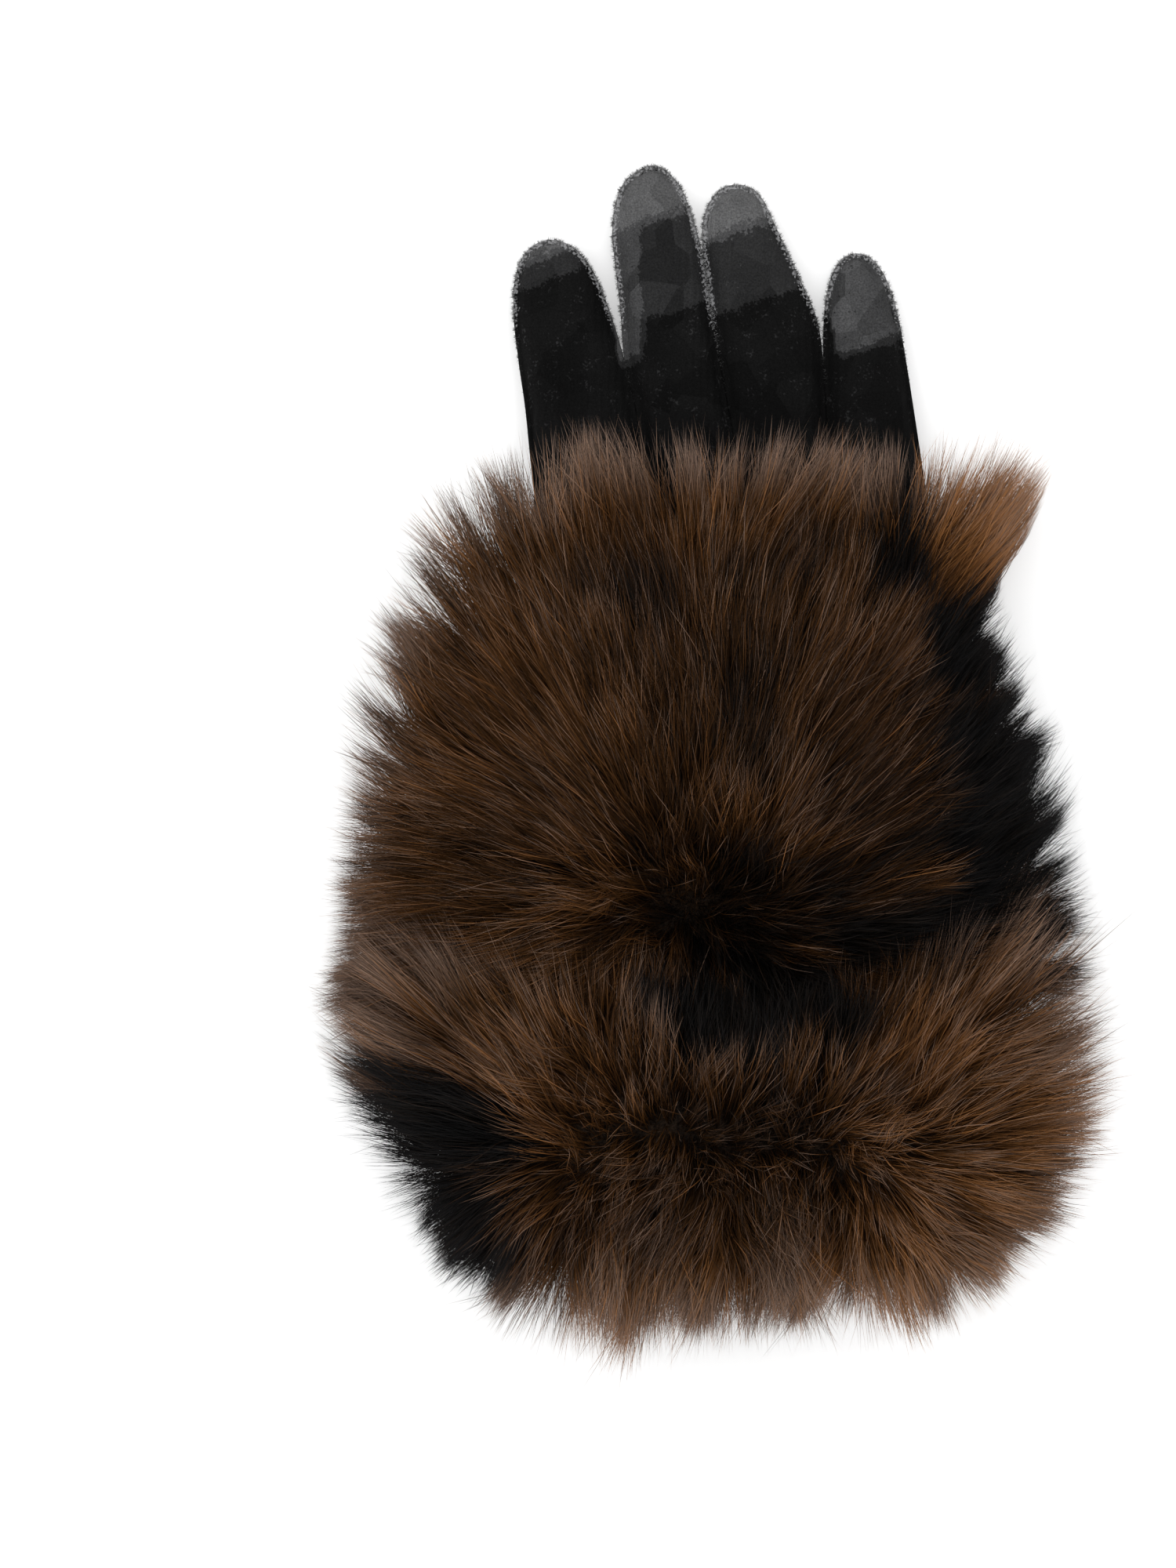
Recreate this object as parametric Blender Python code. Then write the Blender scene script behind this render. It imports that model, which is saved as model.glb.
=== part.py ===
# Faux fur glove, right hand, lying palm down: black cloth hand, fur over its back, fur cuff below the wrist.
# +Y runs to the fingertips, +X to the little finger, +Z up from the table.
# The origin is on the table under the middle of the cuff.
import bpy
import numpy as np

for thing in list(bpy.data.objects):
    bpy.data.objects.remove(thing, do_unlink=True)

# Cloth hand
handWidth = 0.096  # across the four finger roots
fingerReach = 0.0806  # from the finger roots to the tip of the middle finger
rootLine = 0.151  # Y of the finger roots
wristLine = 0.0272  # Y where the cloth hand ends against the cuff
thumbCrotch = 0.096  # Y where the thumb leaves the palm
thumbHeel = 0.044  # Y of the lower end of the thumb's root
clothWall = 0.0014
seamWelt = 0.0013  # width of the outseam that stands out round every finger
seamHalf = 0.0011  # half the height of the outseam
fingerRise = 0.0064  # from the seam to the top of a finger
fingerRound = 0.0100  # distance from the outseam over which a finger rounds up
palmSwell = 0.0050  # what the back of the hand rises above a finger
palmSpread = 0.024  # distance over which it does so
fingerSeamHeight = 0.0069  # Z of the outseam along the fingers
palmSeamHeight = 0.0080  # Z of the outseam along the palm
gap = 0.0003  # clearance between two pieces

# Fur over the back of the hand
furBackWidth = 0.140
furBackLength = 0.110
furBackEnd = 0.0278  # Y of its edge at the wrist seam
furCrown = 0.0410  # Z of the dense pile at its highest
furRim = 0.0100  # Z of the dense pile along its sides
rimPile = 0.0065  # least thickness of the dense pile
underReach = 0.0085  # how far round each place the panel's underside clears the cloth
furColumns = 13
furRows = 12

# Fur cuff
cuffWidth = 0.138
cuffLength = 0.0575
cuffFront = 0.0268  # Y of the end that meets the cloth hand
cuffHeight = 0.0440
cuffFloor = 0.0048  # pile pressed flat on the table and backing
cuffAround = 26

lockLength = 0.024
lockShortest = 0.5  # least and greatest length of a lock drawn to the outline, as shares of lockLength
lockLongest = 1.8
lockBend = 0.42  # share of a lock's length before its bend
lockRings = ((0.34, 0.74), (0.68, 0.42))  # share of the way along a lock, then its width there as a share
tableGap = 0.0008  # least height of a lock over the table
stray = 0.12  # how far locks stand off an even pattern, as a share of their spacing

# Each row is a section across a finger, from its root: height above the root line as a share of fingerReach,
# then its little-finger side and its thumb side as shares of handWidth
fingerTables = (
    (
        (0.000, -0.5000, -0.1938),
        (0.112, -0.5104, -0.2200),
        (0.261, -0.5230, -0.2460),
        (0.409, -0.5406, -0.2760),
        (0.558, -0.5530, -0.3080),
        (0.645, -0.5500, -0.3360),
        (0.713, -0.5330, -0.3700),
        (0.754, -0.5031, -0.4062),
        (0.772, -0.4625, -0.4625),
    ),
    (
        (0.000, -0.1938, 0.0365),
        (0.112, -0.2110, 0.0135),
        (0.261, -0.2375, -0.0090),
        (0.409, -0.2640, -0.0320),
        (0.558, -0.2790, -0.0530),
        (0.707, -0.2945, -0.0715),
        (0.806, -0.3010, -0.0870),
        (0.881, -0.2930, -0.1070),
        (0.949, -0.2690, -0.1360),
        (0.985, -0.2300, -0.1670),
        (1.000, -0.1930, -0.1930),
    ),
    (
        (0.000, 0.0365, 0.2552),
        (0.112, 0.0225, 0.2470),
        (0.261, -0.0005, 0.2400),
        (0.409, -0.0232, 0.2330),
        (0.533, -0.0400, 0.2208),
        (0.657, -0.0560, 0.1760),
        (0.757, -0.0685, 0.1385),
        (0.831, -0.0690, 0.1083),
        (0.888, -0.0520, 0.0865),
        (0.926, -0.0240, 0.0583),
        (0.940, 0.0177, 0.0177),
    ),
    (
        (0.000, 0.2552, 0.5000),
        (0.112, 0.2560, 0.4865),
        (0.261, 0.2485, 0.4677),
        (0.409, 0.2415, 0.4479),
        (0.533, 0.2390, 0.4292),
        (0.620, 0.2480, 0.4094),
        (0.680, 0.2646, 0.3854),
        (0.716, 0.2875, 0.3583),
        (0.731, 0.3187, 0.3187),
    ),
)

# Each row is a section of the thumb from its root: X and Y of its outer edge, then X and Y of its palm edge,
# as shares of handWidth with Y counted from the thumb's heel
thumbTable = (
    (-0.5000, 0.000, -0.5052, 0.542),
    (-0.5940, 0.085, -0.5110, 0.556),
    (-0.6930, 0.260, -0.5180, 0.580),
    (-0.7400, 0.458, -0.5260, 0.620),
    (-0.7480, 0.610, -0.5370, 0.675),
    (-0.7240, 0.700, -0.5600, 0.728),
    (-0.6800, 0.755, -0.5980, 0.765),
    (-0.6400, 0.778, -0.6400, 0.778),
)

# Each row is a section across the palm: Y as a share from wrist to finger roots, then both edges as shares of
# handWidth. The rows between the thumb's crotch and its heel are put in from thumbShares.
palmTable = (
    (0.000, -0.4480, 0.4350),
    (0.060, -0.4600, 0.4350),
    (0.136, -0.5000, 0.4440),
    (0.556, -0.5052, 0.4790),
    (0.710, -0.5070, 0.4900),
    (0.860, -0.5060, 0.4970),
    (1.000, -0.5000, 0.5000),
)

fingerShares = (0.0, 0.06, 0.25, 0.5, 0.75, 0.94, 1.0)  # where the lines along a finger cross its width
thumbShares = (0.0, 0.05, 0.3, 0.64, 0.93, 1.0)

# Each row is a section across the fur panel: Y as a share of furBackLength, both edges as shares of
# furBackWidth, and how far the middle bows forward as a share of furBackLength
furTable = (
    (0.00, -0.535, 0.462, 0.00),
    (0.07, -0.566, 0.488, 0.00),
    (0.25, -0.556, 0.476, 0.00),
    (0.45, -0.526, 0.456, 0.01),
    (0.62, -0.494, 0.440, 0.02),
    (0.78, -0.448, 0.420, 0.03),
    (0.90, -0.392, 0.386, 0.04),
    (1.00, -0.300, 0.312, 0.05),
)

# Each row is a section round the cuff: Y from its front as a share of cuffLength, half width as a share of
# cuffWidth, height as a share of cuffHeight, then half width and ceiling of the hollow the same way
cuffTable = (
    (0.00, 0.372, 0.63, 0.290, 0.385),
    (0.10, 0.424, 0.81, 0.298, 0.395),
    (0.22, 0.462, 0.93, 0.310, 0.415),
    (0.35, 0.486, 0.99, 0.324, 0.440),
    (0.49, 0.497, 1.00, 0.340, 0.475),
    (0.63, 0.497, 0.97, 0.356, 0.515),
    (0.77, 0.488, 0.91, 0.374, 0.560),
    (0.89, 0.472, 0.84, 0.390, 0.605),
    (1.00, 0.452, 0.76, 0.404, 0.650),
)

# Middle of each mass of hair, from above: X and Y from the seam as shares of its width and length. Then the
# outline of its hair round that middle: angle in degrees from +X, reach as a share of the half size that way.
furBackMiddle = (-0.071, 0.347)
furBackReach = (
    (-170.0, 1.264),
    (-150.0, 1.502),
    (-90.0, 1.950),
    (-30.0, 1.652),
    (-17.0, 1.496),
    (0.0, 1.329),
    (15.0, 1.317),
    (30.0, 1.382),
    (38.0, 1.607),
    (45.0, 1.970),
    (51.0, 2.102),
    (56.0, 1.997),
    (61.0, 1.818),
    (75.0, 1.799),
    (103.0, 1.754),
    (115.0, 1.760),
    (124.0, 1.664),
    (130.0, 1.557),
    (142.0, 1.344),
    (164.0, 1.247),
    (180.0, 1.243),
)
cuffMiddle = (0.029, -0.379)
cuffReach = (
    (-169.0, 1.369),
    (-157.0, 1.318),
    (-141.0, 1.361),
    (-120.0, 1.833),
    (-110.0, 1.979),
    (-93.0, 2.177),
    (-74.0, 1.878),
    (-51.0, 1.536),
    (-34.0, 1.330),
    (-15.0, 1.253),
    (0.0, 1.304),
    (15.0, 1.342),
    (90.0, 3.400),
    (160.0, 1.647),
    (168.0, 1.579),
    (176.0, 1.423),
)


# A table's columns as arrays.
def columnsOf(table):
    return np.array(table, float).T


# 0 below the first value and 1 above the second, with a smooth rise between.
def smoothStep(low, high, value):
    share = np.clip((value - low) / (high - low), 0.0, 1.0)
    return share * share * (3.0 - 2.0 * share)


# Points at the given shares between two edges, a row of points for each pair of edge points.
def between(left, right, shares):
    part = np.array(shares)[None, :, None]
    return left[:, None, :] * (1.0 - part) + right[:, None, :] * part


# Quads between the points of a grid of so many rows, so many points wide.
def cellsOf(rows, wide):
    return [
        (row * wide + place, row * wide + place + 1, (row + 1) * wide + place + 1, (row + 1) * wide + place)
        for row in range(rows - 1)
        for place in range(wide - 1)
    ]


# The palm's plan: points in X and Y, faces, and the places that aren't on the outseam, which are those at the
# wrist, at the finger roots and at the thumb's root.
def palmPlan():
    share, left, right = columnsOf(palmTable)
    palmY = wristLine + share * (rootLine - wristLine)
    thumbY = thumbHeel + np.array(thumbShares) * (thumbCrotch - thumbHeel)
    rows = sorted(set(np.round(np.concatenate([palmY[:2], thumbY, palmY[4:]]), 6)))
    low, high = [np.interp(rows, palmY, side)[:, None] * handWidth for side in (left, right)]
    across = np.array(fingerShares)
    roots = [table[0][1] + (table[0][2] - table[0][1]) * across for table in fingerTables]
    rootShares = np.concatenate([roots[0]] + [root[1:] for root in roots[1:]]) + 0.5
    wide = len(rootShares)
    x = low + (high - low) * rootShares
    points = np.stack([x, np.repeat(np.array(rows)[:, None], wide, 1)], -1).reshape(-1, 2)
    thumbRow = rows.index(round(thumbHeel, 6))
    hidden = set(range(wide)) | set(range(len(points) - wide, len(points)))
    hidden |= {row * wide for row in range(thumbRow, thumbRow + len(thumbShares))}
    return points, cellsOf(len(rows), wide), hidden


# A digit's plan the same way: rows of points between its two sides, from the root, which keeps a gap to the
# palm, to the tip, which is one point.
def digitPlan(left, right, shares, forward, sideways):
    left = left + sideways * gap / 2
    right = right - sideways * gap / 2
    lines = between(left[:-1], right[:-1], shares)
    lines[0] += forward * gap
    rows, wide = lines.shape[:2]
    points = np.concatenate([lines.reshape(-1, 2), (left[-1:] + right[-1:]) / 2])
    faces = cellsOf(rows, wide)
    tip = len(points) - 1
    faces += [(tip - wide + place, tip - wide + place + 1, tip) for place in range(wide - 1)]
    return points, faces, set(range(wide))


# The whole hand's plan, a part for the palm and one for each digit.
def handPlan():
    parts = {"cloth": palmPlan()}
    toFingertips, toLittleFinger = np.array([0.0, 1.0]), np.array([1.0, 0.0])
    for name, table in zip(("index", "middle", "ring", "little"), fingerTables):
        share, low, high = columnsOf(table)
        y = rootLine + share * fingerReach
        sides = [np.stack([side * handWidth, y], 1) for side in (low, high)]
        parts[name] = digitPlan(*sides, fingerShares, toFingertips, toLittleFinger)
    outerX, outerY, palmX, palmSideY = columnsOf(thumbTable) * handWidth
    sides = [np.stack([outerX, thumbHeel + outerY], 1), np.stack([palmX, thumbHeel + palmSideY], 1)]
    parts["thumb"] = digitPlan(*sides, thumbShares, -toLittleFinger, toFingertips)
    return parts


# The edges that only one face uses, each in its face's direction.
def openEdges(faces):
    used = {}
    for face in faces:
        for start, end in zip(face, face[1:] + face[:1]):
            used[(start, end)] = True
    return [(start, end) for start, end in used if (end, start) not in used]


# Shortest distance from each point to a set of straight lines given by their ends.
def distanceTo(points, starts, ends):
    along = ends - starts
    away = points[:, None, :] - starts[None, :, :]
    share = np.clip((away * along).sum(2) / (along**2).sum(1), 0.0, 1.0)
    return np.sqrt(((away - share[:, :, None] * along) ** 2).sum(2)).min(1)


# Height over the seam at a distance from the outseam: level over the welt, then a quarter round up to the
# finger's rise, then the swell of the palm.
def clothRise(distance, swell):
    share = np.clip((distance - seamWelt) / fingerRound, 0.0, 1.0)
    rise = seamHalf + (fingerRise - seamHalf) * np.sqrt(1.0 - (1.0 - share) ** 2)
    return rise + swell * smoothStep(fingerRound * 0.7, palmSpread, distance)


# The same for the inside: the lowest that a ball of the wall's size, rolled along the outside, reaches.
def hollowRise(distance, swell):
    reach = np.linspace(0.0, clothWall, 9)[:, None]
    inside = clothRise(distance[None, :] - reach, swell) - np.sqrt(clothWall**2 - reach**2)
    return np.maximum(inside.min(0), gap / 2)


# Z of the outseam at a place along the glove.
def seamHeight(y):
    ease = smoothStep(rootLine - 0.26 * fingerReach, rootLine + 0.17 * fingerReach, y)
    return palmSeamHeight + (fingerSeamHeight - palmSeamHeight) * ease


# An object with its own material from points and faces, all faces turned outwards by their order.
def makeObject(name, points, faces, colour, roughness):
    mesh = bpy.data.meshes.new(name)
    mesh.from_pydata([tuple(point) for point in points], [], [tuple(face) for face in faces])
    mesh.validate()
    material = bpy.data.materials.new(name)
    material.use_nodes = True
    shader = material.node_tree.nodes["Principled BSDF"]
    shader.inputs["Base Color"].default_value = (*colour, 1.0)
    shader.inputs["Roughness"].default_value = roughness
    shader.inputs["Metallic"].default_value = 0.0
    mesh.materials.append(material)
    made = bpy.data.objects.new(name, mesh)
    bpy.context.collection.objects.link(made)
    return made


# Two layers over the same plan joined along the edge of the plan.
def layered(plan, faces, upper, lower):
    count = len(plan)
    top = np.column_stack([plan, upper])
    bottom = np.column_stack([plan, lower])
    shell = [tuple(face) for face in faces]
    shell += [tuple(place + count for place in reversed(face)) for face in faces]
    shell += [(end, start, start + count, end + count) for start, end in openEdges(faces)]
    return np.concatenate([top, bottom]), shell


# Both ends of some of a part's edges, as points.
def endsOf(points, edges):
    return np.stack([points[[edge[0] for edge in edges]], points[[edge[1] for edge in edges]]])


handParts = handPlan()
handEnds = np.concatenate([endsOf(part[0], openEdges(part[1])) for part in handParts.values()], 1)
seamLines = []
for points, faces, hidden in handParts.values():
    outer = [edge for edge in openEdges(faces) if not (edge[0] in hidden and edge[1] in hidden)]
    seamLines.append(endsOf(points, outer))
seamStarts, seamEnds = np.concatenate(seamLines, 1)

black = (0.0095, 0.0095, 0.0098)
for name, (plan, faces, hidden) in handParts.items():
    inset = distanceTo(plan, seamStarts, seamEnds)
    seam = seamHeight(plan[:, 1])
    backTop = seam + clothRise(inset, palmSwell)
    backInside = seam + hollowRise(inset, palmSwell)
    palmBottom = np.maximum(seam - clothRise(inset, palmSwell), 0.0)
    palmInside = np.maximum(seam - hollowRise(inset, palmSwell), clothWall)
    palmInside = np.minimum(palmInside, seam - gap / 2)
    makeObject("back_" + name, *layered(plan, faces, backTop, backInside), black, 0.92)
    makeObject("palm_" + name, *layered(plan, faces, palmInside, palmBottom), black, 0.92)


# Which points are inside the hand's outline, by counting the outline's crossings to the right of each.
def insideHand(points):
    start, end = handEnds
    x, y = points[:, 0][:, None], points[:, 1][:, None]
    spans = (start[:, 1] > y) != (end[:, 1] > y)
    rise = np.where(np.abs(end[:, 1] - start[:, 1]) < 1e-9, 1e-9, end[:, 1] - start[:, 1])
    crossing = start[:, 0] + (y - start[:, 1]) * (end[:, 0] - start[:, 0]) / rise
    return (spans & (x < crossing)).sum(1) % 2 == 1


# The underside that a panel needs to clear the cloth hand: the highest cloth within reach of each point, or
# just off the table where there is none.
def overHand(points, reach):
    turns = np.linspace(0.0, 2.0 * np.pi, 12, endpoint=False)
    height = np.full(len(points), tableGap)
    for radius in (0.0, reach * 0.35, reach * 0.7, reach):
        for turn in turns:
            near = points + radius * np.array([np.cos(turn), np.sin(turn)])
            cloth = seamHeight(near[:, 1]) + clothRise(distanceTo(near, seamStarts, seamEnds), palmSwell)
            height = np.maximum(height, np.where(insideHand(near), cloth + gap * 1.5, tableGap))
    return height


# Replaces faces by locks: each face is drawn out through two smaller rings to a point, along a curve that
# starts the first way and ends the second way.
def growLocks(points, faces, chosen, lengths, first, second):
    points = [tuple(point) for point in points]
    places = np.array(points)
    grown = []
    count = 0
    for number, face in enumerate(faces):
        if not chosen[number]:
            grown.append(face)
            continue
        corners = places[list(face)]
        middle = corners.mean(0)
        bend = middle + first[count] * lengths[count] * lockBend
        tip = bend + second[count] * lengths[count] * (1.0 - lockBend)
        before = list(face)
        for share, size in lockRings:
            centre = middle * (1.0 - share) ** 2 + bend * 2.0 * share * (1.0 - share) + tip * share**2
            points.extend(tuple(centre + (corner - middle) * size) for corner in corners)
            ring = list(range(len(points) - 4, len(points)))
            for place in range(4):
                after = (place + 1) % 4
                grown.append((before[place], before[after], ring[after], ring[place]))
            before = ring
        points.append(tuple(tip))
        for place in range(4):
            grown.append((before[place], before[(place + 1) % 4], len(points) - 1))
        count += 1
    return points, grown


# How far the hair reaches from the middle of its mass towards each point, from a table by angle in degrees.
def reachTowards(away, table, width, length):
    angle, share = columnsOf(table)
    turn = np.arctan2(away[:, 1], away[:, 0])
    half = np.hypot(np.cos(turn) * width, np.sin(turn) * length) / 2.0
    return np.interp(np.degrees(turn), angle, share, period=360.0) * half


# Middle and outward direction of each face.
def facePlaces(points, faces):
    corners = np.array([[points[place] for place in face] for face in faces])
    out = np.cross(corners[:, 2] - corners[:, 0], corners[:, 3] - corners[:, 1])
    return corners.mean(1), unit(out)


# Vectors of length one.
def unit(vectors):
    return vectors / np.maximum(np.linalg.norm(vectors, axis=-1, keepdims=True), 1e-12)


chance = np.random.default_rng(7)

# Fur panel: dense pile as a dome over the hand, its underside clear of the cloth
share, leftEdge, rightEdge, bow = columnsOf(furTable)
rows = np.linspace(0.0, 1.0, furRows + 1)
columns = np.linspace(-1.0, 1.0, furColumns + 1)
columns = np.sign(columns) * np.abs(columns) ** 0.92
left = np.interp(rows, share, leftEdge)[:, None] * furBackWidth
right = np.interp(rows, share, rightEdge)[:, None] * furBackWidth
bows = np.interp(rows, share, bow)[:, None] * furBackLength
across = (columns[None, :] + 1.0) / 2.0
furX = left + (right - left) * across
furY = furBackEnd + rows[:, None] * (furBackLength - bows.max()) + bows * (1.0 - columns[None, :] ** 2)
furPlan = np.stack([furX.ravel(), furY.ravel()], 1)
centred = rows * 2.0 - 1.0
spread = (np.abs(columns[None, :]) ** 2.8 + np.abs(centred[:, None]) ** 4.0) ** (1.0 / 3.0)
spread = np.clip(spread, 0.0, 1.0).ravel()
furUnder = overHand(furPlan, underReach)
furTop = furRim + (furCrown - furRim) * (1.0 - spread**2.4) ** 0.62
furTop = np.maximum(furTop, furUnder + rimPile)
wide = furColumns + 1
furCells = cellsOf(furRows + 1, wide)
furPoints, furFaces = layered(furPlan, furCells, furTop, furUnder)
inner = np.zeros((furRows + 1, wide), bool)
inner[1:-1, 1:-1] = True
moved = chance.uniform(-1.0, 1.0, (inner.sum(), 2)) * stray * furBackLength / furRows
furPoints[: len(furPlan)][inner.ravel(), :2] += moved
middles, outwards = facePlaces(furPoints, [face for face in furFaces if len(face) == 4])
rimFrom = 2 * len(furCells)
seamSide = middles[:, 1] < furBackEnd + 0.0005
chosen = np.zeros(len(furFaces), bool)
chosen[: len(furCells)] = True
chosen[rimFrom:] = ~seamSide[rimFrom:]
middles, outwards = middles[chosen], outwards[chosen]
middleX, middleY = furBackMiddle
away = middles[:, :2] - np.array([middleX * furBackWidth, furBackEnd + middleY * furBackLength])
distance = np.linalg.norm(away, axis=1)
lay = np.column_stack([unit(away), np.zeros(len(away))])
nearSeam = 1.0 - smoothStep(0.04, 0.27, (middles[:, 1] - furBackEnd) / furBackLength)
lay[:, 1] = np.where(lay[:, 1] < 0.0, lay[:, 1] * (1.0 - nearSeam), lay[:, 1])
lean = smoothStep(0.04, 0.36, distance / furBackWidth)[:, None]
upright = np.array([0.0, 0.0, 1.0])
facing = outwards[:, 2:]
ragged = 0.95 + 0.07 * chance.random(len(middles))
reach = reachTowards(away, furBackReach, furBackWidth, furBackLength) * ragged
atRim = smoothStep(0.84, 1.0, distance / (reach - 0.83 * lockLength))
firstWay = unit(outwards * (0.85 - 0.35 * atRim[:, None]) + lay * 0.45 * lean + upright * 0.20 * facing)
rising = 0.36 * facing - 0.18 * lean - 0.12 * atRim[:, None] + 0.15 * nearSeam[:, None]
secondWay = unit(outwards * (0.40 - 0.15 * atRim[:, None]) + lay * (0.35 + 0.65 * lean) + upright * rising)
lengths = lockLength * (0.74 + 0.26 * lean[:, 0] + 0.22 * chance.random(len(middles)))
level = np.linalg.norm((firstWay * lockBend + secondWay * (1.0 - lockBend))[:, :2], axis=1)
toOutline = np.clip((reach - distance) / level, lockShortest * lockLength, lockLongest * lockLength)
lengths = lengths * (1.0 - atRim) + toOutline * atRim
lengths *= 1.0 - 0.55 * nearSeam * (1.0 - smoothStep(0.36, 0.50, np.abs(middles[:, 0]) / furBackWidth))
furPoints, furFaces = growLocks(furPoints, furFaces, chosen, lengths, firstWay, secondWay)
furPoints = np.array(furPoints)
furPoints[:, 2] = np.maximum(furPoints[:, 2], tableGap)
brown = (0.068, 0.036, 0.020)
makeObject("fur_back", furPoints, furFaces, brown, 0.75)


# A closed loop round the cuff: rounded oblong whose underside is cut flat.
def cuffLoop(half, floor, ceiling, flatness):
    turn = np.linspace(0.0, 2.0 * np.pi, cuffAround, endpoint=False) + np.pi / cuffAround
    power = 2.0 / 2.6
    x = half * np.sign(np.cos(turn)) * np.abs(np.cos(turn)) ** power
    middle = floor + (ceiling - floor) * 0.42
    up = np.sign(np.sin(turn)) * np.abs(np.sin(turn)) ** power
    z = np.where(up > 0, middle + (ceiling - middle) * up, middle + (middle - floor) * flatness * up)
    return x, np.maximum(z, floor)


share, halfWidth, height, holeHalf, holeHeight = columnsOf(cuffTable)
outerLoops = []
innerLoops = []
for row in range(len(share)):
    y = cuffFront - share[row] * cuffLength
    x, z = cuffLoop(halfWidth[row] * cuffWidth, 0.0, height[row] * cuffHeight, 1.16)
    outerLoops.append(np.column_stack([x, np.full(cuffAround, y), z]))
    x, z = cuffLoop(holeHalf[row] * cuffWidth, cuffFloor, holeHeight[row] * cuffHeight, 1.10)
    innerLoops.append(np.column_stack([x, np.full(cuffAround, y), z]))
cuffPoints = np.concatenate(outerLoops + innerLoops)
sections = len(share)
hollow = sections * cuffAround
outerCells = []
cuffFaces = []
for row in range(sections - 1):
    for place in range(cuffAround):
        here = row * cuffAround + place
        beside = row * cuffAround + (place + 1) % cuffAround
        outerCells.append((here, beside, beside + cuffAround, here + cuffAround))
        held = [here + cuffAround, beside + cuffAround, beside, here]
        cuffFaces.append(tuple(corner + hollow for corner in held))
for place in range(cuffAround):
    after = (place + 1) % cuffAround
    last = (sections - 1) * cuffAround
    cuffFaces.append((after, place, place + hollow, after + hollow))
    cuffFaces.append((last + place, last + after, last + after + hollow, last + place + hollow))
grid = cuffPoints[:hollow].reshape(sections, cuffAround, 3)
loose = np.zeros((sections, cuffAround), bool)
loose[1:-1] = grid[1:-1, :, 2] > 0.23 * cuffHeight
spacing = np.array([0.6, 1.0, 0.2]) * cuffLength / sections
grid[loose] += chance.uniform(-1.0, 1.0, (loose.sum(), 3)) * stray * spacing
middles, outwards = facePlaces(cuffPoints, outerCells)
mouthY = cuffFront - cuffLength + gap
mouthFaces = [face for face in cuffFaces if cuffPoints[list(face)][:, 1].max() < mouthY]
mouthMiddles, mouthOutwards = facePlaces(cuffPoints, mouthFaces)
middles = np.concatenate([middles, mouthMiddles])
outwards = np.concatenate([outwards, mouthOutwards])
chosen = middles[:, 2] > 0.09 * cuffHeight
chosen[len(outerCells) :] = True
middles, outwards = middles[chosen], outwards[chosen]
middleX, middleY = cuffMiddle
away = middles[:, :2] - np.array([middleX * cuffWidth, cuffFront + middleY * cuffLength])
distance = np.linalg.norm(away, axis=1)
lay = np.column_stack([unit(away), np.zeros(len(away))])
nearSeam = 1.0 - smoothStep(0.05, 0.38, (cuffFront - middles[:, 1]) / cuffLength)
lay[:, 1] = np.where(lay[:, 1] > 0.0, lay[:, 1] * (1.0 - nearSeam) * 0.4, lay[:, 1])
lean = smoothStep(0.03, 0.33, distance / cuffWidth)[:, None]
firstWay = outwards * 0.85 + lay * 0.35 * lean
firstWay[:, 1] = np.where(nearSeam > 0.3, np.minimum(firstWay[:, 1], 0.0), firstWay[:, 1])
firstWay = unit(firstWay)
secondWay = outwards * 0.40 + lay * (0.35 + 0.65 * lean) + upright * (0.20 - 0.20 * lean)
secondWay[:, 1] = np.where(nearSeam > 0.3, np.minimum(secondWay[:, 1], 0.0), secondWay[:, 1])
secondWay = unit(secondWay)
lengths = lockLength * (0.68 + 0.28 * lean[:, 0] + 0.22 * chance.random(len(middles)))
ragged = 0.95 + 0.07 * chance.random(len(middles))
reach = reachTowards(away, cuffReach, cuffWidth, cuffLength) * ragged
level = np.linalg.norm((firstWay * lockBend + secondWay * (1.0 - lockBend))[:, :2], axis=1)
toOutline = np.clip((reach - distance) / level, lockShortest * lockLength, lockLongest * lockLength)
toSides = smoothStep(0.6, 0.95, np.abs(outwards[:, 0]))
atRim = np.maximum(toSides, smoothStep(0.70, 0.95, distance / (reach - 0.83 * lockLength)))
lengths = lengths * (1.0 - atRim) + toOutline * atRim
lengths *= 1.0 - 0.40 * nearSeam * (1.0 - smoothStep(0.36, 0.47, np.abs(middles[:, 0]) / cuffWidth))
rest = [face for face in cuffFaces if face not in mouthFaces]
chosen = list(chosen) + [False] * len(rest)
cells = outerCells + mouthFaces + rest
cuffPoints, cuffFaces = growLocks(cuffPoints, cells, chosen, lengths, firstWay, secondWay)
cuffPoints = np.array(cuffPoints)
drawn = cuffPoints[hollow * 2 :]
drawn[:, 2] = np.maximum(drawn[:, 2], tableGap)
makeObject("fur_cuff", cuffPoints, cuffFaces, brown, 0.75)
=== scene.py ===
import bpy
import numpy as np
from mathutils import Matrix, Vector


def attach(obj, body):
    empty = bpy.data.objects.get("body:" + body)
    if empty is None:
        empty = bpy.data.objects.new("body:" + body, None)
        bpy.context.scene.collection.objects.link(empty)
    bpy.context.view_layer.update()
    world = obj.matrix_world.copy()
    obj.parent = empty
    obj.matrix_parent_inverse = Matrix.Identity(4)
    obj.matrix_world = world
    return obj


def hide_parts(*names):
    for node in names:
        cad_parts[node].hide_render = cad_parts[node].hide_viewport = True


# Faux fur glove, right hand, lying palm down. The fingers point to +Y, the little finger is at +X.
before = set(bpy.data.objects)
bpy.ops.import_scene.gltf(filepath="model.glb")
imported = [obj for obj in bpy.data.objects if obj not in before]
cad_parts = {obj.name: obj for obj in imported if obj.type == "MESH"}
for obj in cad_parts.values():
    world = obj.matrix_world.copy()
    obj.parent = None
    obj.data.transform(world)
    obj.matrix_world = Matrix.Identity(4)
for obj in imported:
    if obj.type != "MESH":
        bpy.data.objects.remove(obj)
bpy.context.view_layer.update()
print("frame loaded")


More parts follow.
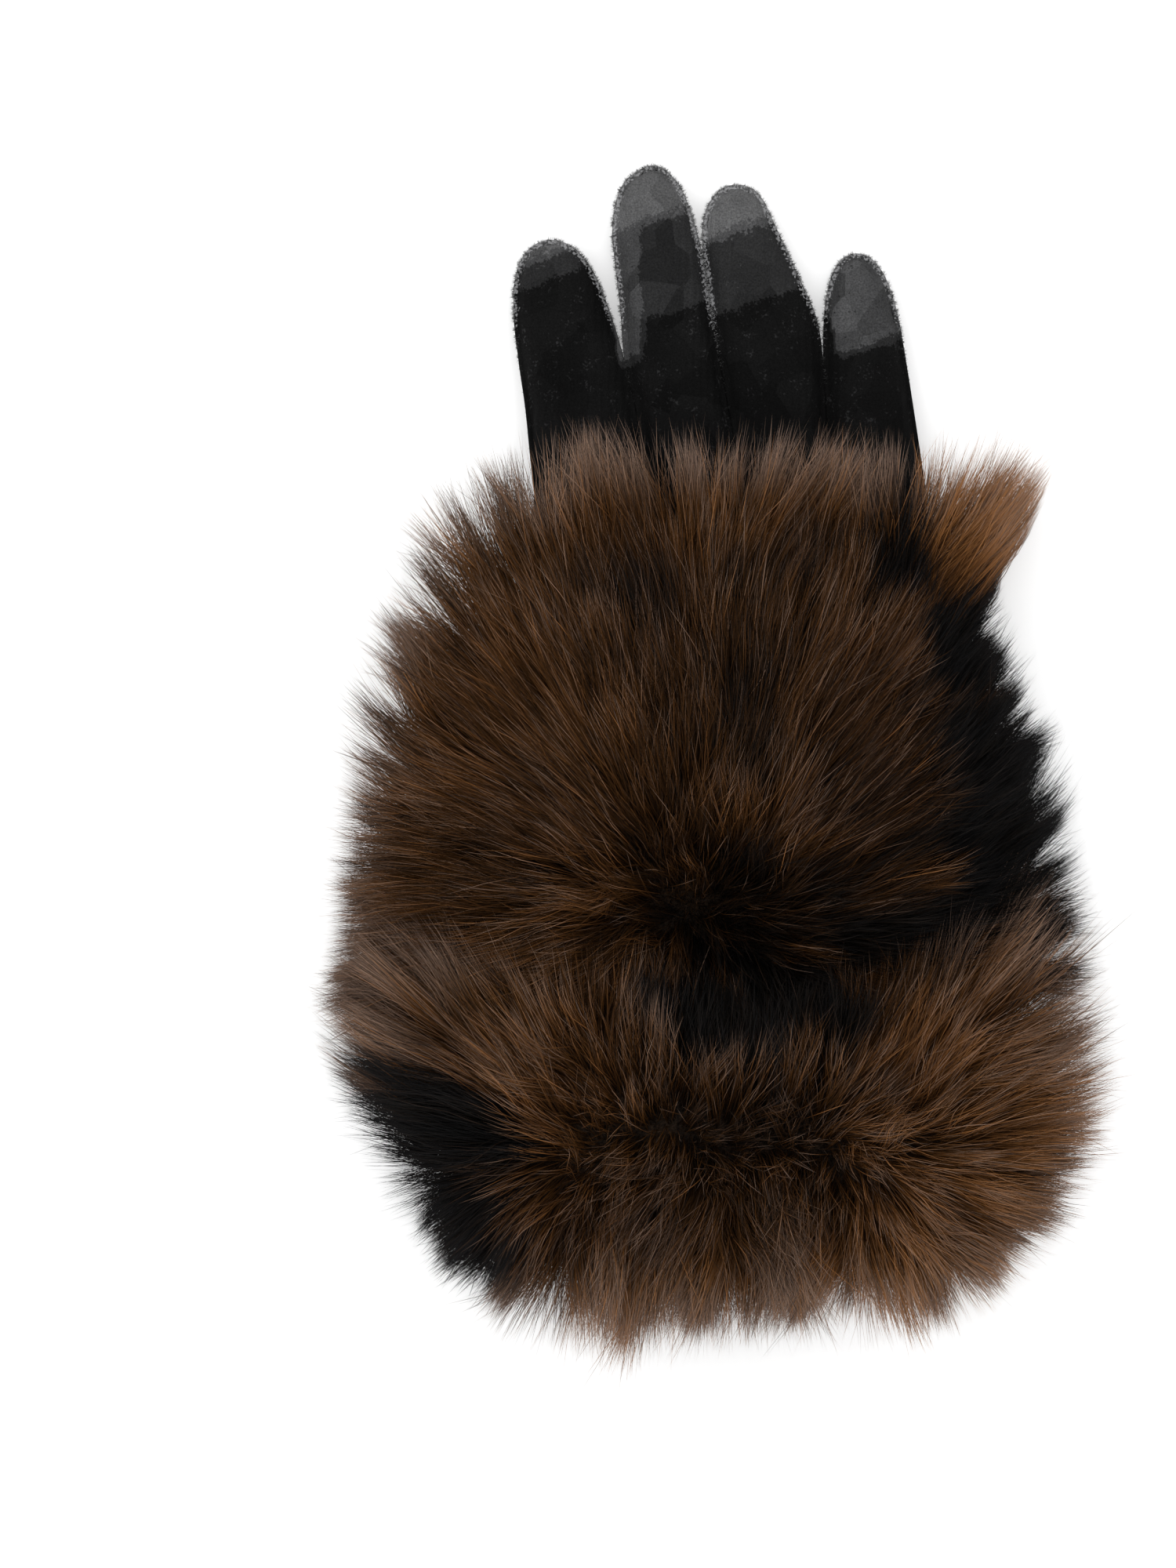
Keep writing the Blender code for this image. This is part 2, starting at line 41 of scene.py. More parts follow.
# 0 below the first value, 1 above the second, smooth rise between: 3 t squared minus 2 t cubed.
def smoothStep(low, high, value):
    share = np.clip((value - low) / (high - low), 0.0, 1.0)
    return share * share * (3.0 - 2.0 * share)


# Vectors divided by their own length.
def unit(vectors):
    return vectors / np.maximum(np.linalg.norm(vectors, axis=-1, keepdims=True), 1e-12)


# A table's columns as arrays.
def columnsOf(table):
    return np.array(table, float).T


waves = {"count": 7, "lengths": (0.7, 1.5), "strength": 1.9}


# Smooth waves between -1 and 1: the mean of sines in chance directions, each wave about as long as the size.
def softWaves(points, size, seed):
    dice = np.random.default_rng(seed)
    ways = unit(dice.normal(size=(waves["count"], points.shape[-1])))
    lengths = size * dice.uniform(*waves["lengths"], (waves["count"], 1))
    starts = dice.uniform(0.0, 2.0 * np.pi, waves["count"])
    return np.sin(points @ (ways * 2.0 * np.pi / lengths).T + starts).mean(-1) * waves["strength"]


# Length along a line of points up to each of them.
def lengthAlong(points):
    return np.concatenate([[0.0], np.cumsum(np.linalg.norm(np.diff(points, axis=0), axis=1))])


# A smooth line through points: on each stretch the cubic whose ends follow the chords of its neighbours.
# The shares run from 0 to 1 by the length of the chords.
def smoothLine(points, shares):
    chord = lengthAlong(points)
    slopes = np.gradient(points, chord, axis=0)
    place = shares * chord[-1]
    piece = np.clip(np.searchsorted(chord, place) - 1, 0, len(points) - 2)
    span = (chord[piece + 1] - chord[piece])[:, None]
    t = (place - chord[piece])[:, None] / span
    ends = points[piece] * (2 * t**3 - 3 * t**2 + 1) + points[piece + 1] * (3 * t**2 - 2 * t**3)
    return ends + slopes[piece] * span * (t**3 - 2 * t**2 + t) + slopes[piece + 1] * span * (t**3 - t**2)


# Four corners for each cell of a grid of point numbers, turning from the columns towards the rows.
def gridQuads(grid):
    return np.stack([grid[:-1, :-1], grid[:-1, 1:], grid[1:, 1:], grid[1:, :-1]], -1).reshape(-1, 4)


# A mesh from arrays of points, quads and triangles.
def makePiece(name, points, quads, triangles, material):
    mesh = bpy.data.meshes.new(name)
    corners = np.concatenate([quads.ravel(), triangles.ravel()]).astype(np.int32)
    starts = np.concatenate([np.arange(len(quads)) * 4, len(quads) * 4 + np.arange(len(triangles)) * 3])
    mesh.vertices.add(len(points))
    mesh.vertices.foreach_set("co", points.astype(np.float32).ravel())
    mesh.loops.add(len(corners))
    mesh.loops.foreach_set("vertex_index", corners)
    mesh.polygons.add(len(starts))
    mesh.polygons.foreach_set("loop_start", starts.astype(np.int32))
    mesh.polygons.foreach_set("use_smooth", np.ones(len(starts), bool))
    mesh.update(calc_edges=True)
    mesh.validate()
    mesh.materials.append(material)
    piece = bpy.data.objects.new(name, mesh)
    bpy.context.scene.collection.objects.link(piece)
    return piece


# A value at each point of a mesh, for its material to read.
def giveValue(piece, name, values):
    layer = piece.data.attributes.new(name, "FLOAT", "POINT")
    layer.data.foreach_set("value", values.astype(np.float32))


# Materials

# A shader node, its inputs set by name or number, from values or other nodes' outputs.
def addNode(tree, kind, inputs=None, **settings):
    node = tree.nodes.new(kind)
    for key, value in settings.items():
        setattr(node, key, value)
    for key, value in (inputs or {}).items():
        socket = node.inputs[key]
        if isinstance(value, bpy.types.NodeSocket):
            tree.links.new(value, socket)
        else:
            socket.default_value = value
    return node


# Where a place on the surface is, in metres.
def addPlace(tree):
    return addNode(tree, "ShaderNodeTexCoord").outputs["Object"]


# What a strand's own map holds: its tone across and the place along.
def addStrandMap(tree):
    place = addNode(tree, "ShaderNodeUVMap", uv_map="OFBake").outputs[0]
    split = addNode(tree, "ShaderNodeSeparateXYZ", {0: place})
    return split.outputs[0], split.outputs[1]


# The output of a Math node.
def addMath(tree, operation, *values):
    return addNode(tree, "ShaderNodeMath", dict(enumerate(values)), operation=operation).outputs[0]


# The output of a Noise Texture.
def addNoise(tree, place, scale, detail):
    return addNode(tree, "ShaderNodeTexNoise", {"Vector": place, "Scale": scale, "Detail": detail}).outputs[0]


# A value moved from one range to another and kept inside it.
def addRange(tree, value, low, high, newLow=0.0, newHigh=1.0):
    return addNode(tree, "ShaderNodeMapRange", {0: value, 1: low, 2: high, 3: newLow, 4: newHigh}).outputs[0]


# Two colours mixed, or the first multiplied by the second.
def addMix(tree, share, first, second, way="MIX"):
    sockets = {0: share, 6: first, 7: second}
    return addNode(tree, "ShaderNodeMix", sockets, data_type="RGBA", blend_type=way).outputs[2]


# A bump from a height: its strength and how high 1 stands, in metres.
def addBump(tree, shader, height, strength, distance):
    bump = addNode(tree, "ShaderNodeBump", {"Strength": strength, "Distance": distance, "Height": height})
    tree.links.new(bump.outputs[0], shader.inputs["Normal"])


# A colour ramp with the given stops: share and colour.
def addRamp(tree, value, stops, way="EASE"):
    node = addNode(tree, "ShaderNodeValToRGB", {0: value})
    ramp = node.color_ramp
    ramp.interpolation = way
    while len(ramp.elements) < len(stops):
        ramp.elements.new(0.5)
    for element, (place, colour) in zip(ramp.elements, stops):
        element.position = place
        element.color = (*colour, 1.0) if isinstance(colour, tuple) else (colour, colour, colour, 1.0)
    return node.outputs["Color"]


# A material with its Principled shader and its node tree emptied for new nodes.
def newMaterial(name, roughness, specular):
    material = bpy.data.materials.new(name)
    material.use_nodes = True
    shader = material.node_tree.nodes["Principled BSDF"]
    shader.inputs["Roughness"].default_value = roughness
    shader.inputs["Specular IOR Level"].default_value = specular
    return material, material.node_tree, shader


# Node group: uneven shade of fibres, a slow mottle times a fine grain, and the grain as a height.
def fibreShadeGroup():
    group = bpy.data.node_groups.new("fibreShade", "ShaderNodeTree")
    for name in ("Mottle Size", "Grain Size"):
        group.interface.new_socket(name, in_out="INPUT", socket_type="NodeSocketFloat")
    for name in ("Shade", "Height"):
        group.interface.new_socket(name, in_out="OUTPUT", socket_type="NodeSocketFloat")
    start = group.nodes.new("NodeGroupInput")
    end = group.nodes.new("NodeGroupOutput")
    place = addPlace(group)
    slow = addNoise(group, place, start.outputs["Mottle Size"], 4.0)
    fine = addNoise(group, place, start.outputs["Grain Size"], 3.0)
    slowShade = addRange(group, slow, 0.3, 0.7, 0.75, 1.25)
    fineShade = addRange(group, fine, 0.3, 0.7, 0.65, 1.35)
    group.links.new(addMath(group, "MULTIPLY", slowShade, fineShade), end.inputs["Shade"])
    group.links.new(fine, end.inputs["Height"])
    return group


fibreShade = fibreShadeGroup()


# The group placed in a material, with its mottle and grain in waves for each metre.
def addFibres(tree, mottle, grain):
    fibres = addNode(tree, "ShaderNodeGroup", node_tree=fibreShade)
    fibres.inputs["Mottle Size"].default_value = mottle
    fibres.inputs["Grain Size"].default_value = grain
    return fibres.outputs["Shade"], fibres.outputs["Height"]


jersey = {
    "black": (0.0042, 0.0042, 0.0042),
    "zoneGrey": (0.0165, 0.0165, 0.0168),
    "midGrey": (0.0440, 0.0440, 0.0450),
    "capGrey": (0.078, 0.078, 0.079),
    "stops": (0.10, 0.17, 0.50, 0.56, 0.80, 0.88),  # where these start and end on the ends' shade
    "ragged": ((1500.0, 2.0, 0.60), (260.0, 3.0, 0.50)),  # noise at their edges: scale, detail, strength
    "raggedMean": 0.55,
    "mottle": 55.0,
    "grain": 2400.0,
    "facets": 115.0,
    "facetShades": (0.70, 1.30),
    "napPale": (0.42, 0.42, 0.43),
    "speckles": 1500.0,
    "speckLimits": (0.95, 0.44),  # noise that a speckle needs, away from the outseam and on it
    "speckEdge": 0.10,
    "speckStrength": 0.50,
    "ribsPerMetre": 1150.0,
    "bump": (0.55, 0.0002),
}


# Black jersey: fine upright ribs, faint mottle, pale grey finger ends, pale nap on the outseam.
def jerseyMaterial():
    material, tree, shader = newMaterial("blackJersey", 0.92, 0.06)
    place = addPlace(tree)
    shade, height = addFibres(tree, jersey["mottle"], jersey["grain"])
    level = addNode(tree, "ShaderNodeAttribute", attribute_name="tipShade").outputs["Fac"]
    edgeNap = addNode(tree, "ShaderNodeAttribute", attribute_name="edgeNap").outputs["Fac"]
    for scale, detail, strength in jersey["ragged"]:
        level = addMath(tree, "MULTIPLY_ADD", addNoise(tree, place, scale, detail), strength, level)
    level = addMath(tree, "SUBTRACT", level, jersey["raggedMean"])
    greys = [jersey[grey] for grey in ("black", "zoneGrey", "zoneGrey", "midGrey", "midGrey", "capGrey")]
    plain = addRamp(tree, level, tuple(zip(jersey["stops"], greys)), "LINEAR")
    cells = addNode(tree, "ShaderNodeTexVoronoi", {"Vector": place, "Scale": jersey["facets"]})
    facets = cells.outputs["Color"]
    facetShade = addNode(tree, "ShaderNodeSeparateColor", {0: facets}).outputs[0]
    facetShade = addRange(tree, facetShade, 0.0, 1.0, *jersey["facetShades"])
    tinted = addMix(tree, 1.0, plain, addMath(tree, "MULTIPLY", facetShade, shade), "MULTIPLY")
    limit = addRange(tree, edgeNap, 0.0, 1.0, *jersey["speckLimits"])
    over = addMath(tree, "SUBTRACT", addNoise(tree, place, jersey["speckles"], 4.0), limit)
    speckled = addRange(tree, over, 0.0, jersey["speckEdge"])
    strong = addMath(tree, "MULTIPLY", speckled, jersey["speckStrength"])
    colour = addMix(tree, strong, tinted, (*jersey["napPale"], 1.0))
    tree.links.new(colour, shader.inputs["Base Color"])
    ribs = addNode(
        tree,
        "ShaderNodeTexWave",
        {"Vector": place, "Scale": jersey["ribsPerMetre"] / 6.2832, "Distortion": 2.0, "Detail": 1.0},
        bands_direction="X",
    ).outputs[1]
    addBump(tree, shader, addMath(tree, "MULTIPLY_ADD", height, 0.8, ribs), *jersey["bump"])
    return material


pile = {
    "palette": (
        (0.00, (0.0030, 0.0031, 0.0034)),
        (0.14, (0.0080, 0.0055, 0.0038)),
        (0.30, (0.0215, 0.0098, 0.0036)),
        (0.48, (0.0560, 0.0225, 0.0054)),
        (0.66, (0.1000, 0.0400, 0.0096)),
        (0.82, (0.1600, 0.0640, 0.0190)),
        (1.00, (0.2500, 0.1020, 0.0300)),
    ),
    "tips": (
        (0.00, (0.0090, 0.0090, 0.0098)),
        (0.14, (0.0230, 0.0185, 0.0165)),
        (0.30, (0.0560, 0.0375, 0.0290)),
        (0.48, (0.1300, 0.0880, 0.0680)),
        (0.66, (0.2350, 0.1620, 0.1260)),
        (0.82, (0.3300, 0.2200, 0.1600)),
        (1.00, (0.3500, 0.1600, 0.0620)),
    ),
    "along": ((0.0, 0.10), (0.28, 0.34), (0.6, 0.88), (1.0, 1.0)),  # shade from root to tip
    "tipsFrom": (0.50, 0.92),  # share of the way along over which the palette gives way to the tips' colours
    "roughness": 0.62,
    "specular": 0.06,
}


# Long pile: the colour of a strand and its shade from root to tip, read from the strand's own map.
def pileMaterial(name):
    material, tree, shader = newMaterial(name, pile["roughness"], pile["specular"])
    tone, along = addStrandMap(tree)
    body = addRamp(tree, tone, pile["palette"], "LINEAR")
    tips = addRamp(tree, tone, pile["tips"], "LINEAR")
    mixed = addMix(tree, addRange(tree, along, *pile["tipsFrom"]), body, tips)
    colour = addMix(tree, 1.0, mixed, addRamp(tree, along, pile["along"]), "MULTIPLY")
    tree.links.new(colour, shader.inputs["Base Color"])
    return material


# A dark ground of pressed fibres for what shows between and under the strands.
def groundMaterial(name, dark, light):
    material, tree, shader = newMaterial(name, 0.95, 0.10)
    shade, height = addFibres(tree, 120.0, 1400.0)
    colour = addRamp(tree, addRange(tree, shade, 0.5, 1.6), ((0.0, dark), (1.0, light)))
    tree.links.new(colour, shader.inputs["Base Color"])
    addBump(tree, shader, height, 0.8, 0.0008)
    return material


# Thread: twisted, so its shade runs in slanting bands.
def threadMaterial():
    material, tree, shader = newMaterial("outseamThread", 0.7, 0.3)
    bands = {"Vector": addPlace(tree), "Scale": 700.0}
    twist = addNode(tree, "ShaderNodeTexWave", bands, bands_direction="DIAGONAL")
    colour = addRamp(tree, twist.outputs[1], ((0.0, (0.003, 0.003, 0.003)), (1.0, (0.014, 0.014, 0.015))))
    tree.links.new(colour, shader.inputs["Base Color"])
    return material


# Nap of the outseam: pale and dark fibres, read from the fibre's own map.
def napMaterial():
    material, tree, shader = newMaterial("outseamNap", 0.8, 0.2)
    colour = addRamp(tree, addStrandMap(tree)[0], nap["shades"], "LINEAR")
    tree.links.new(colour, shader.inputs["Base Color"])
    return material


# Cloth hand

hand = {
    "width": 0.096,  # across the four finger roots
    "fingerReach": 0.0806,  # from the finger roots to the tip of the middle finger
    "rootLine": 0.151,
    "wristLine": 0.0272,
    "thumbCrotch": 0.096,
    "thumbHeel": 0.044,
    "wall": 0.0014,
    "welt": 0.0013,  # width of the outseam
    "weltHalf": 0.0011,  # half its height
    "weltEdge": (0.45, 0.35),  # how far its edge drops and over what share of its width
    "groove": (0.50, 1.05, 0.30),  # depth, place and half width as shares of the welt
    "rise": 0.0064,  # from the seam to the top of a finger
    "round": 0.0100,  # distance over which a finger rounds up
    "swell": 0.0050,  # what the back of the hand adds
    "spread": 0.024,
    "fingerSeam": 0.0069,  # height of the outseam along the fingers, then along the palm
    "palmSeam": 0.0080,
    "gap": 0.0003,
    "lines": 20,  # cells across a finger
    "steps": 46,  # cells along a finger
    "palmRows": (8, 28, 30),  # rows of cells below, beside and above the thumb's root
}

# Sections across the fingers, from the root: height over the root line as a share of the reach, then both
# sides as shares of the width
fingerTables = (
    (
        (0.000, -0.5000, -0.1938),
        (0.112, -0.5104, -0.2155),
        (0.261, -0.5230, -0.2417),
        (0.409, -0.5406, -0.2700),
        (0.558, -0.5530, -0.3080),
        (0.645, -0.5500, -0.3360),
        (0.713, -0.5330, -0.3700),
        (0.754, -0.5031, -0.4062),
        (0.772, -0.4625, -0.4625),
    ),
    (
        (0.000, -0.1938, 0.0365),
        (0.112, -0.2155, 0.0180),
        (0.261, -0.2417, -0.0047),
        (0.409, -0.2700, -0.0276),
        (0.558, -0.2800, -0.0480),
        (0.707, -0.2945, -0.0670),
        (0.806, -0.3010, -0.0870),
        (0.881, -0.2930, -0.1070),
        (0.949, -0.2690, -0.1360),
        (0.985, -0.2300, -0.1670),
        (1.000, -0.1930, -0.1930),
    ),
    (
        (0.000, 0.0365, 0.2552),
        (0.112, 0.0180, 0.2515),
        (0.261, -0.0047, 0.2443),
        (0.409, -0.0276, 0.2373),
        (0.533, -0.0450, 0.2208),
        (0.657, -0.0604, 0.1760),
        (0.757, -0.0710, 0.1385),
        (0.831, -0.0690, 0.1083),
        (0.888, -0.0520, 0.0865),
        (0.926, -0.0240, 0.0583),
        (0.940, 0.0177, 0.0177),
    ),
    (
        (0.000, 0.2552, 0.5000),
        (0.112, 0.2515, 0.4865),
        (0.261, 0.2443, 0.4677),
        (0.409, 0.2373, 0.4479),
        (0.533, 0.2390, 0.4292),
        (0.620, 0.2480, 0.4094),
        (0.680, 0.2646, 0.3854),
        (0.716, 0.2875, 0.3583),
        (0.731, 0.3187, 0.3187),
    ),
)

# Sections of the thumb: X and Y of its outer edge, then of its palm edge, as shares of the width, Y from the
# heel
thumbTable = (
    (-0.5000, 0.000, -0.5052, 0.542),
    (-0.5940, 0.085, -0.5110, 0.556),
    (-0.6930, 0.260, -0.5180, 0.580),
    (-0.7400, 0.458, -0.5260, 0.620),
    (-0.7480, 0.610, -0.5370, 0.675),
    (-0.7240, 0.700, -0.5600, 0.728),
    (-0.6800, 0.755, -0.5980, 0.765),
    (-0.6400, 0.778, -0.6400, 0.778),
)

# Sections of the palm: Y as a share from wrist to finger roots, then both edges as shares of the width
palmTable = (
    (0.000, -0.4480, 0.4350),
    (0.060, -0.4600, 0.4350),
    (0.136, -0.5000, 0.4440),
    (0.556, -0.5052, 0.4790),
    (0.710, -0.5070, 0.4900),
    (0.860, -0.5060, 0.4970),
    (1.000, -0.5000, 0.5000),
)

# Pale grey finger ends: where the pale cap and the grey zone below it end, in Y, and the zone's shade
capTable = (
    (0.2100, 0.2060, 0.36),
    (0.2225, 0.2005, 0.34),
    (0.2205, 0.2035, 0.36),
    (0.2095, 0.1880, 0.68),
)

caps = {
    "between": (-0.031, -0.0055, 0.0225),  # X between the fingers where Y is 0.2
    "slant": -0.25,  # X over Y there
    "lean": 0.35,  # how the caps slope across a finger
    "capEdge": (-0.0030, 0.0045),
    "zoneEdge": (-0.0020, 0.0020),
    "stripeFrom": (0.190, 0.194),  # the middle finger's stripe: Y, X and shade
    "stripeSide": (-0.0225, -0.0205),
    "stripeShade": 0.68,
    "from": (0.170, 0.180),
}

# Soft folds in the cloth: X and Y of both ends, width, then height (below 0 a crease)
foldTable = (
    (-0.017, 0.152, -0.022, 0.214, 0.0030, -0.00045),
    (-0.031, 0.158, -0.034, 0.205, 0.0030, 0.00040),
    (0.000, 0.160, -0.008, 0.206, 0.0028, 0.00045),
    (0.013, 0.150, 0.006, 0.205, 0.0026, -0.00045),
    (-0.038, 0.148, -0.047, 0.196, 0.0030, -0.00035),
    (0.032, 0.150, 0.030, 0.190, 0.0030, 0.00035),
    (0.038, 0.150, 0.037, 0.200, 0.0024, -0.00035),
    (-0.020, 0.214, -0.010, 0.196, 0.0022, 0.00040),
    (-0.012, 0.196, 0.010, 0.188, 0.0030, -0.00050),
    (0.004, 0.208, 0.016, 0.190, 0.0022, -0.00040),
    (-0.060, 0.060, -0.030, 0.092, 0.0050, -0.00080),
    (-0.050, 0.048, -0.020, 0.070, 0.0050, 0.00070),
    (-0.030, 0.120, 0.030, 0.128, 0.0050, -0.00060),
)


# Shares across a finger, close together at its edges: half of 1 minus a cosine, partly straight.
def acrossShares(count):
    even = np.linspace(0.0, 1.0, count + 1)
    return 0.82 * (0.5 - 0.5 * np.cos(np.pi * even)) + 0.18 * even


# The plan of the hand: palm, fingers and thumb as grids that share their root points. Each line across a
# finger joins both sides of a smooth outline, and all lines end in the tip.
def handPlan():
    blocks = []
    quads = []
    triangles = []

    # Points joined to the plan, and their numbers in the same arrangement.
    def add(points):
        first = sum(len(block) for block in blocks)
        blocks.append(points.reshape(-1, 2))
        return np.arange(first, first + len(blocks[-1])).reshape(points.shape[:-1])

    # A finger or the thumb on its row of root points, from both sides of its outline.
    def growDigit(root, first, second, across):
        outline = np.concatenate([first, second[-2::-1]])
        chord = lengthAlong(outline)
        tip = chord[len(first) - 1] / chord[-1]
        along = np.linspace(0.0, 1.0, hand["steps"] + 1)
        low = smoothLine(outline, along * tip)
        high = smoothLine(outline, 1.0 - along * (1.0 - tip))
        part = across[None, :, None]
        lines = low[:, None] * (1.0 - part) + high[:, None] * part
        rows = np.concatenate([root[None], add(lines[1:-1])])
        end = add(lines[-1:, 0])[0]
        quads.append(gridQuads(rows))
        last = rows[-1]
        triangles.append(np.stack([last[:-1], last[1:], np.full(len(last) - 1, end)], 1))

    share, left, right = columnsOf(palmTable)
    wrist, heel, crotch = hand["wristLine"], hand["thumbHeel"], hand["thumbCrotch"]
    below, beside, above = hand["palmRows"]
    bend = acrossShares(beside)
    lowRows = np.linspace(wrist, heel, below + 1)[:-1]
    highRows = np.linspace(crotch, hand["rootLine"], above + 1)[1:]
    rowsY = np.concatenate([lowRows, heel + (crotch - heel) * bend, highRows])
    tableY = wrist + share * (hand["rootLine"] - wrist)
    low = np.interp(rowsY, tableY, left) * hand["width"]
    high = np.interp(rowsY, tableY, right) * hand["width"]
    across = acrossShares(hand["lines"])
    roots = [table[0][1] + (table[0][2] - table[0][1]) * across for table in fingerTables]
    shares = np.concatenate([roots[0]] + [root[1:] for root in roots[1:]]) + 0.5
    x = low[:, None] + (high - low)[:, None] * shares
    palm = add(np.stack([x, np.repeat(rowsY[:, None], len(shares), 1)], -1))
    quads.append(gridQuads(palm))
    cells = hand["lines"]
    for number, table in enumerate(fingerTables):
        height, first, second = columnsOf(table)
        y = hand["rootLine"] + height * hand["fingerReach"]
        root = palm[-1, number * cells : (number + 1) * cells + 1]
        sides = [np.stack([side * hand["width"], y], 1) for side in (first, second)]
        growDigit(root, *sides, across)
    outerX, outerY, innerX, innerY = columnsOf(thumbTable) * hand["width"]
    sides = [np.stack([outerX, heel + outerY], 1), np.stack([innerX, heel + innerY], 1)]
    growDigit(palm[below : below + beside + 1, 0], *sides, bend)
    return np.concatenate(blocks), np.concatenate(quads), np.concatenate(triangles), palm[0]


# The edges that one face alone uses, in that face's direction.
def openEdges(quads, triangles):
    sides = []
    for shapes in (quads, triangles):
        after = np.roll(shapes, -1, 1)
        sides += [np.stack([shapes[:, turn], after[:, turn]], 1) for turn in range(shapes.shape[1])]
    edges = np.concatenate(sides)
    keys = edges.min(1).astype(np.int64) * 10**7 + edges.max(1)
    _, where, counts = np.unique(keys, return_index=True, return_counts=True)
    return edges[where[counts == 1]]


# Shortest distance from points to straight lines given by their ends, worked out a few thousand at a time.
def distanceTo(points, starts, ends):
    along = ends - starts
    size = np.maximum((along**2).sum(1), 1e-14)
    found = []
    for first in range(0, len(points), 3000):
        away = points[first : first + 3000, None, :] - starts[None]
        share = np.clip((away * along).sum(2) / size, 0.0, 1.0)
        found.append(np.sqrt(((away - share[:, :, None] * along) ** 2).sum(2).min(1)))
    return np.concatenate(found)


# Height over the seam at a distance from the outseam: the rounded welt, the stitched groove behind it, a
# quarter round up to the finger's rise, then the swell of the palm.
def clothRise(distance):
    welt, half = hand["welt"], hand["weltHalf"]
    share = np.clip((distance - welt) / hand["round"], 0.0, 1.0)
    rise = half + (hand["rise"] - half) * np.sqrt(1.0 - (1.0 - share) ** 2)
    drop, within = hand["weltEdge"]
    depth, place, width = hand["groove"]
    rise = rise - drop * half * (1.0 - smoothStep(0.0, within * welt, distance))
    rise = rise - depth * half * np.exp(-(((distance - welt * place) / (welt * width)) ** 2))
    return rise + hand["swell"] * smoothStep(hand["round"] * 0.7, hand["spread"], distance)


# The same for the inside: the lowest place that a ball as wide as the wall reaches, rolled along the cloth.
def hollowRise(distance):
    reach = np.linspace(0.0, hand["wall"], 7)[:, None]
    inside = clothRise(np.abs(distance[None, :] - reach)) - np.sqrt(hand["wall"] ** 2 - reach**2)
    return np.maximum(inside.min(0), hand["gap"] / 2)


# Height of the outseam at a place along the glove.
def seamHeight(y):
    return hand["palmSeam"] + (hand["fingerSeam"] - hand["palmSeam"]) * smoothStep(0.13, 0.165, y)


# Values evened out over the mesh: each round moves a value half way to the mean of its neighbours.
def evenOut(values, edges, free, rounds):
    count = np.bincount(edges.ravel(), minlength=len(values))
    for _ in range(rounds):
        total = np.bincount(edges[:, 0], values[edges[:, 1]], len(values))
        total += np.bincount(edges[:, 1], values[edges[:, 0]], len(values))
        values = np.where(free, 0.5 * values + 0.5 * total / count, values)
    return values


# Height that the folds add: across each fold a bell curve of its width, fading at its ends.
def foldHeight(points):
    height = np.zeros(len(points))
    for x0, y0, x1, y1, width, rise in foldTable:
        along = np.array([x1 - x0, y1 - y0])
        length = np.linalg.norm(along)
        way = along / length
        away = points - np.array([x0, y0])
        share = away @ way / length
        side = away @ np.array([-way[1], way[0]]) + 0.0012 * np.sin(share * 5.0 + x0 * 300.0)
        fade = smoothStep(-0.1, 0.25, share) * (1.0 - smoothStep(0.75, 1.1, share))
        height += rise * fade * np.exp(-((side / width) ** 2))
    return height


# Two layers over one plan, joined along the plan's edge.
def layered(plan, quads, triangles, edges, upper, lower):
    count = len(plan)
    points = np.concatenate([np.column_stack([plan, upper]), np.column_stack([plan, lower])])
    walls = np.stack([edges[:, 1], edges[:, 0], edges[:, 0] + count, edges[:, 1] + count], 1)
    allQuads = np.concatenate([quads, quads[:, ::-1] + count, walls])
    return points, allQuads, np.concatenate([triangles, triangles[:, ::-1] + count])


# How strongly the pale cap and the grey zone show: 1 in the cap, about half in the zone, 0 below. The
# middle finger's zone has a stripe that runs lower down its outer side.
def tipShadeOf(points):
    shade = np.zeros(len(points))
    finger = np.digitize(points[:, 0] - (points[:, 1] - 0.2) * caps["slant"], caps["between"])
    for number, (capEnd, zoneEnd, zoneShade) in enumerate(capTable):
        here = finger == number
        y = points[:, 1] - (points[:, 0] - points[here, 0].mean()) * caps["lean"]
        cap = smoothStep(*(capEnd + edge for edge in caps["capEdge"]), y)
        zone = smoothStep(*(zoneEnd + edge for edge in caps["zoneEdge"]), y) * zoneShade
        value = np.maximum(zone, cap)
        if number == 1:
            stripe = smoothStep(*caps["stripeFrom"], y)
            stripe = stripe * (1.0 - smoothStep(*caps["stripeSide"], points[:, 0]))
            value = np.maximum(value, stripe * caps["stripeShade"])
        shade = np.where(here, value, shade)
    return shade * smoothStep(*caps["from"], points[:, 1])


plan, planQuads, planTriangles, wristRow = handPlan()
rim = openEdges(planQuads, planTriangles)
atWrist = np.isin(rim, wristRow).all(1)
seamEdges = rim[~atWrist]
seamStarts, seamEnds = plan[seamEdges[:, 0]], plan[seamEdges[:, 1]]
inset = distanceTo(plan, seamStarts, seamEnds)
meshEdges = np.concatenate([planQuads[:, [0, 1]], planQuads[:, [1, 2]], planTriangles[:, [1, 2]]])
softInset = evenOut(inset, meshEdges, inset > 0.0035, 14)
seam = seamHeight(plan[:, 1])
calm = smoothStep(0.0020, 0.0070, inset)
ripple = foldHeight(plan) + 0.00022 * softWaves(plan * np.array([1.0, 0.35]), 0.009, 3)
backTop = seam + clothRise(softInset) + ripple * calm
backInside = seam + hollowRise(softInset)
palmBottom = np.maximum(seam - clothRise(softInset) + 0.6 * ripple * calm, 0.0)
palmInside = np.minimum(np.maximum(seam - hollowRise(softInset), hand["wall"]), seam - hand["gap"] / 2)
palmInside = np.maximum(palmInside, palmBottom + 0.4 * hand["gap"])
jerseyCloth = jerseyMaterial()
tipShade = tipShadeOf(plan)
edgeNap = (1.0 - smoothStep(0.0006, 0.0030, inset)) * smoothStep(0.176, 0.200, plan[:, 1])
digits = ("cloth", "index", "middle", "ring", "little", "thumb")
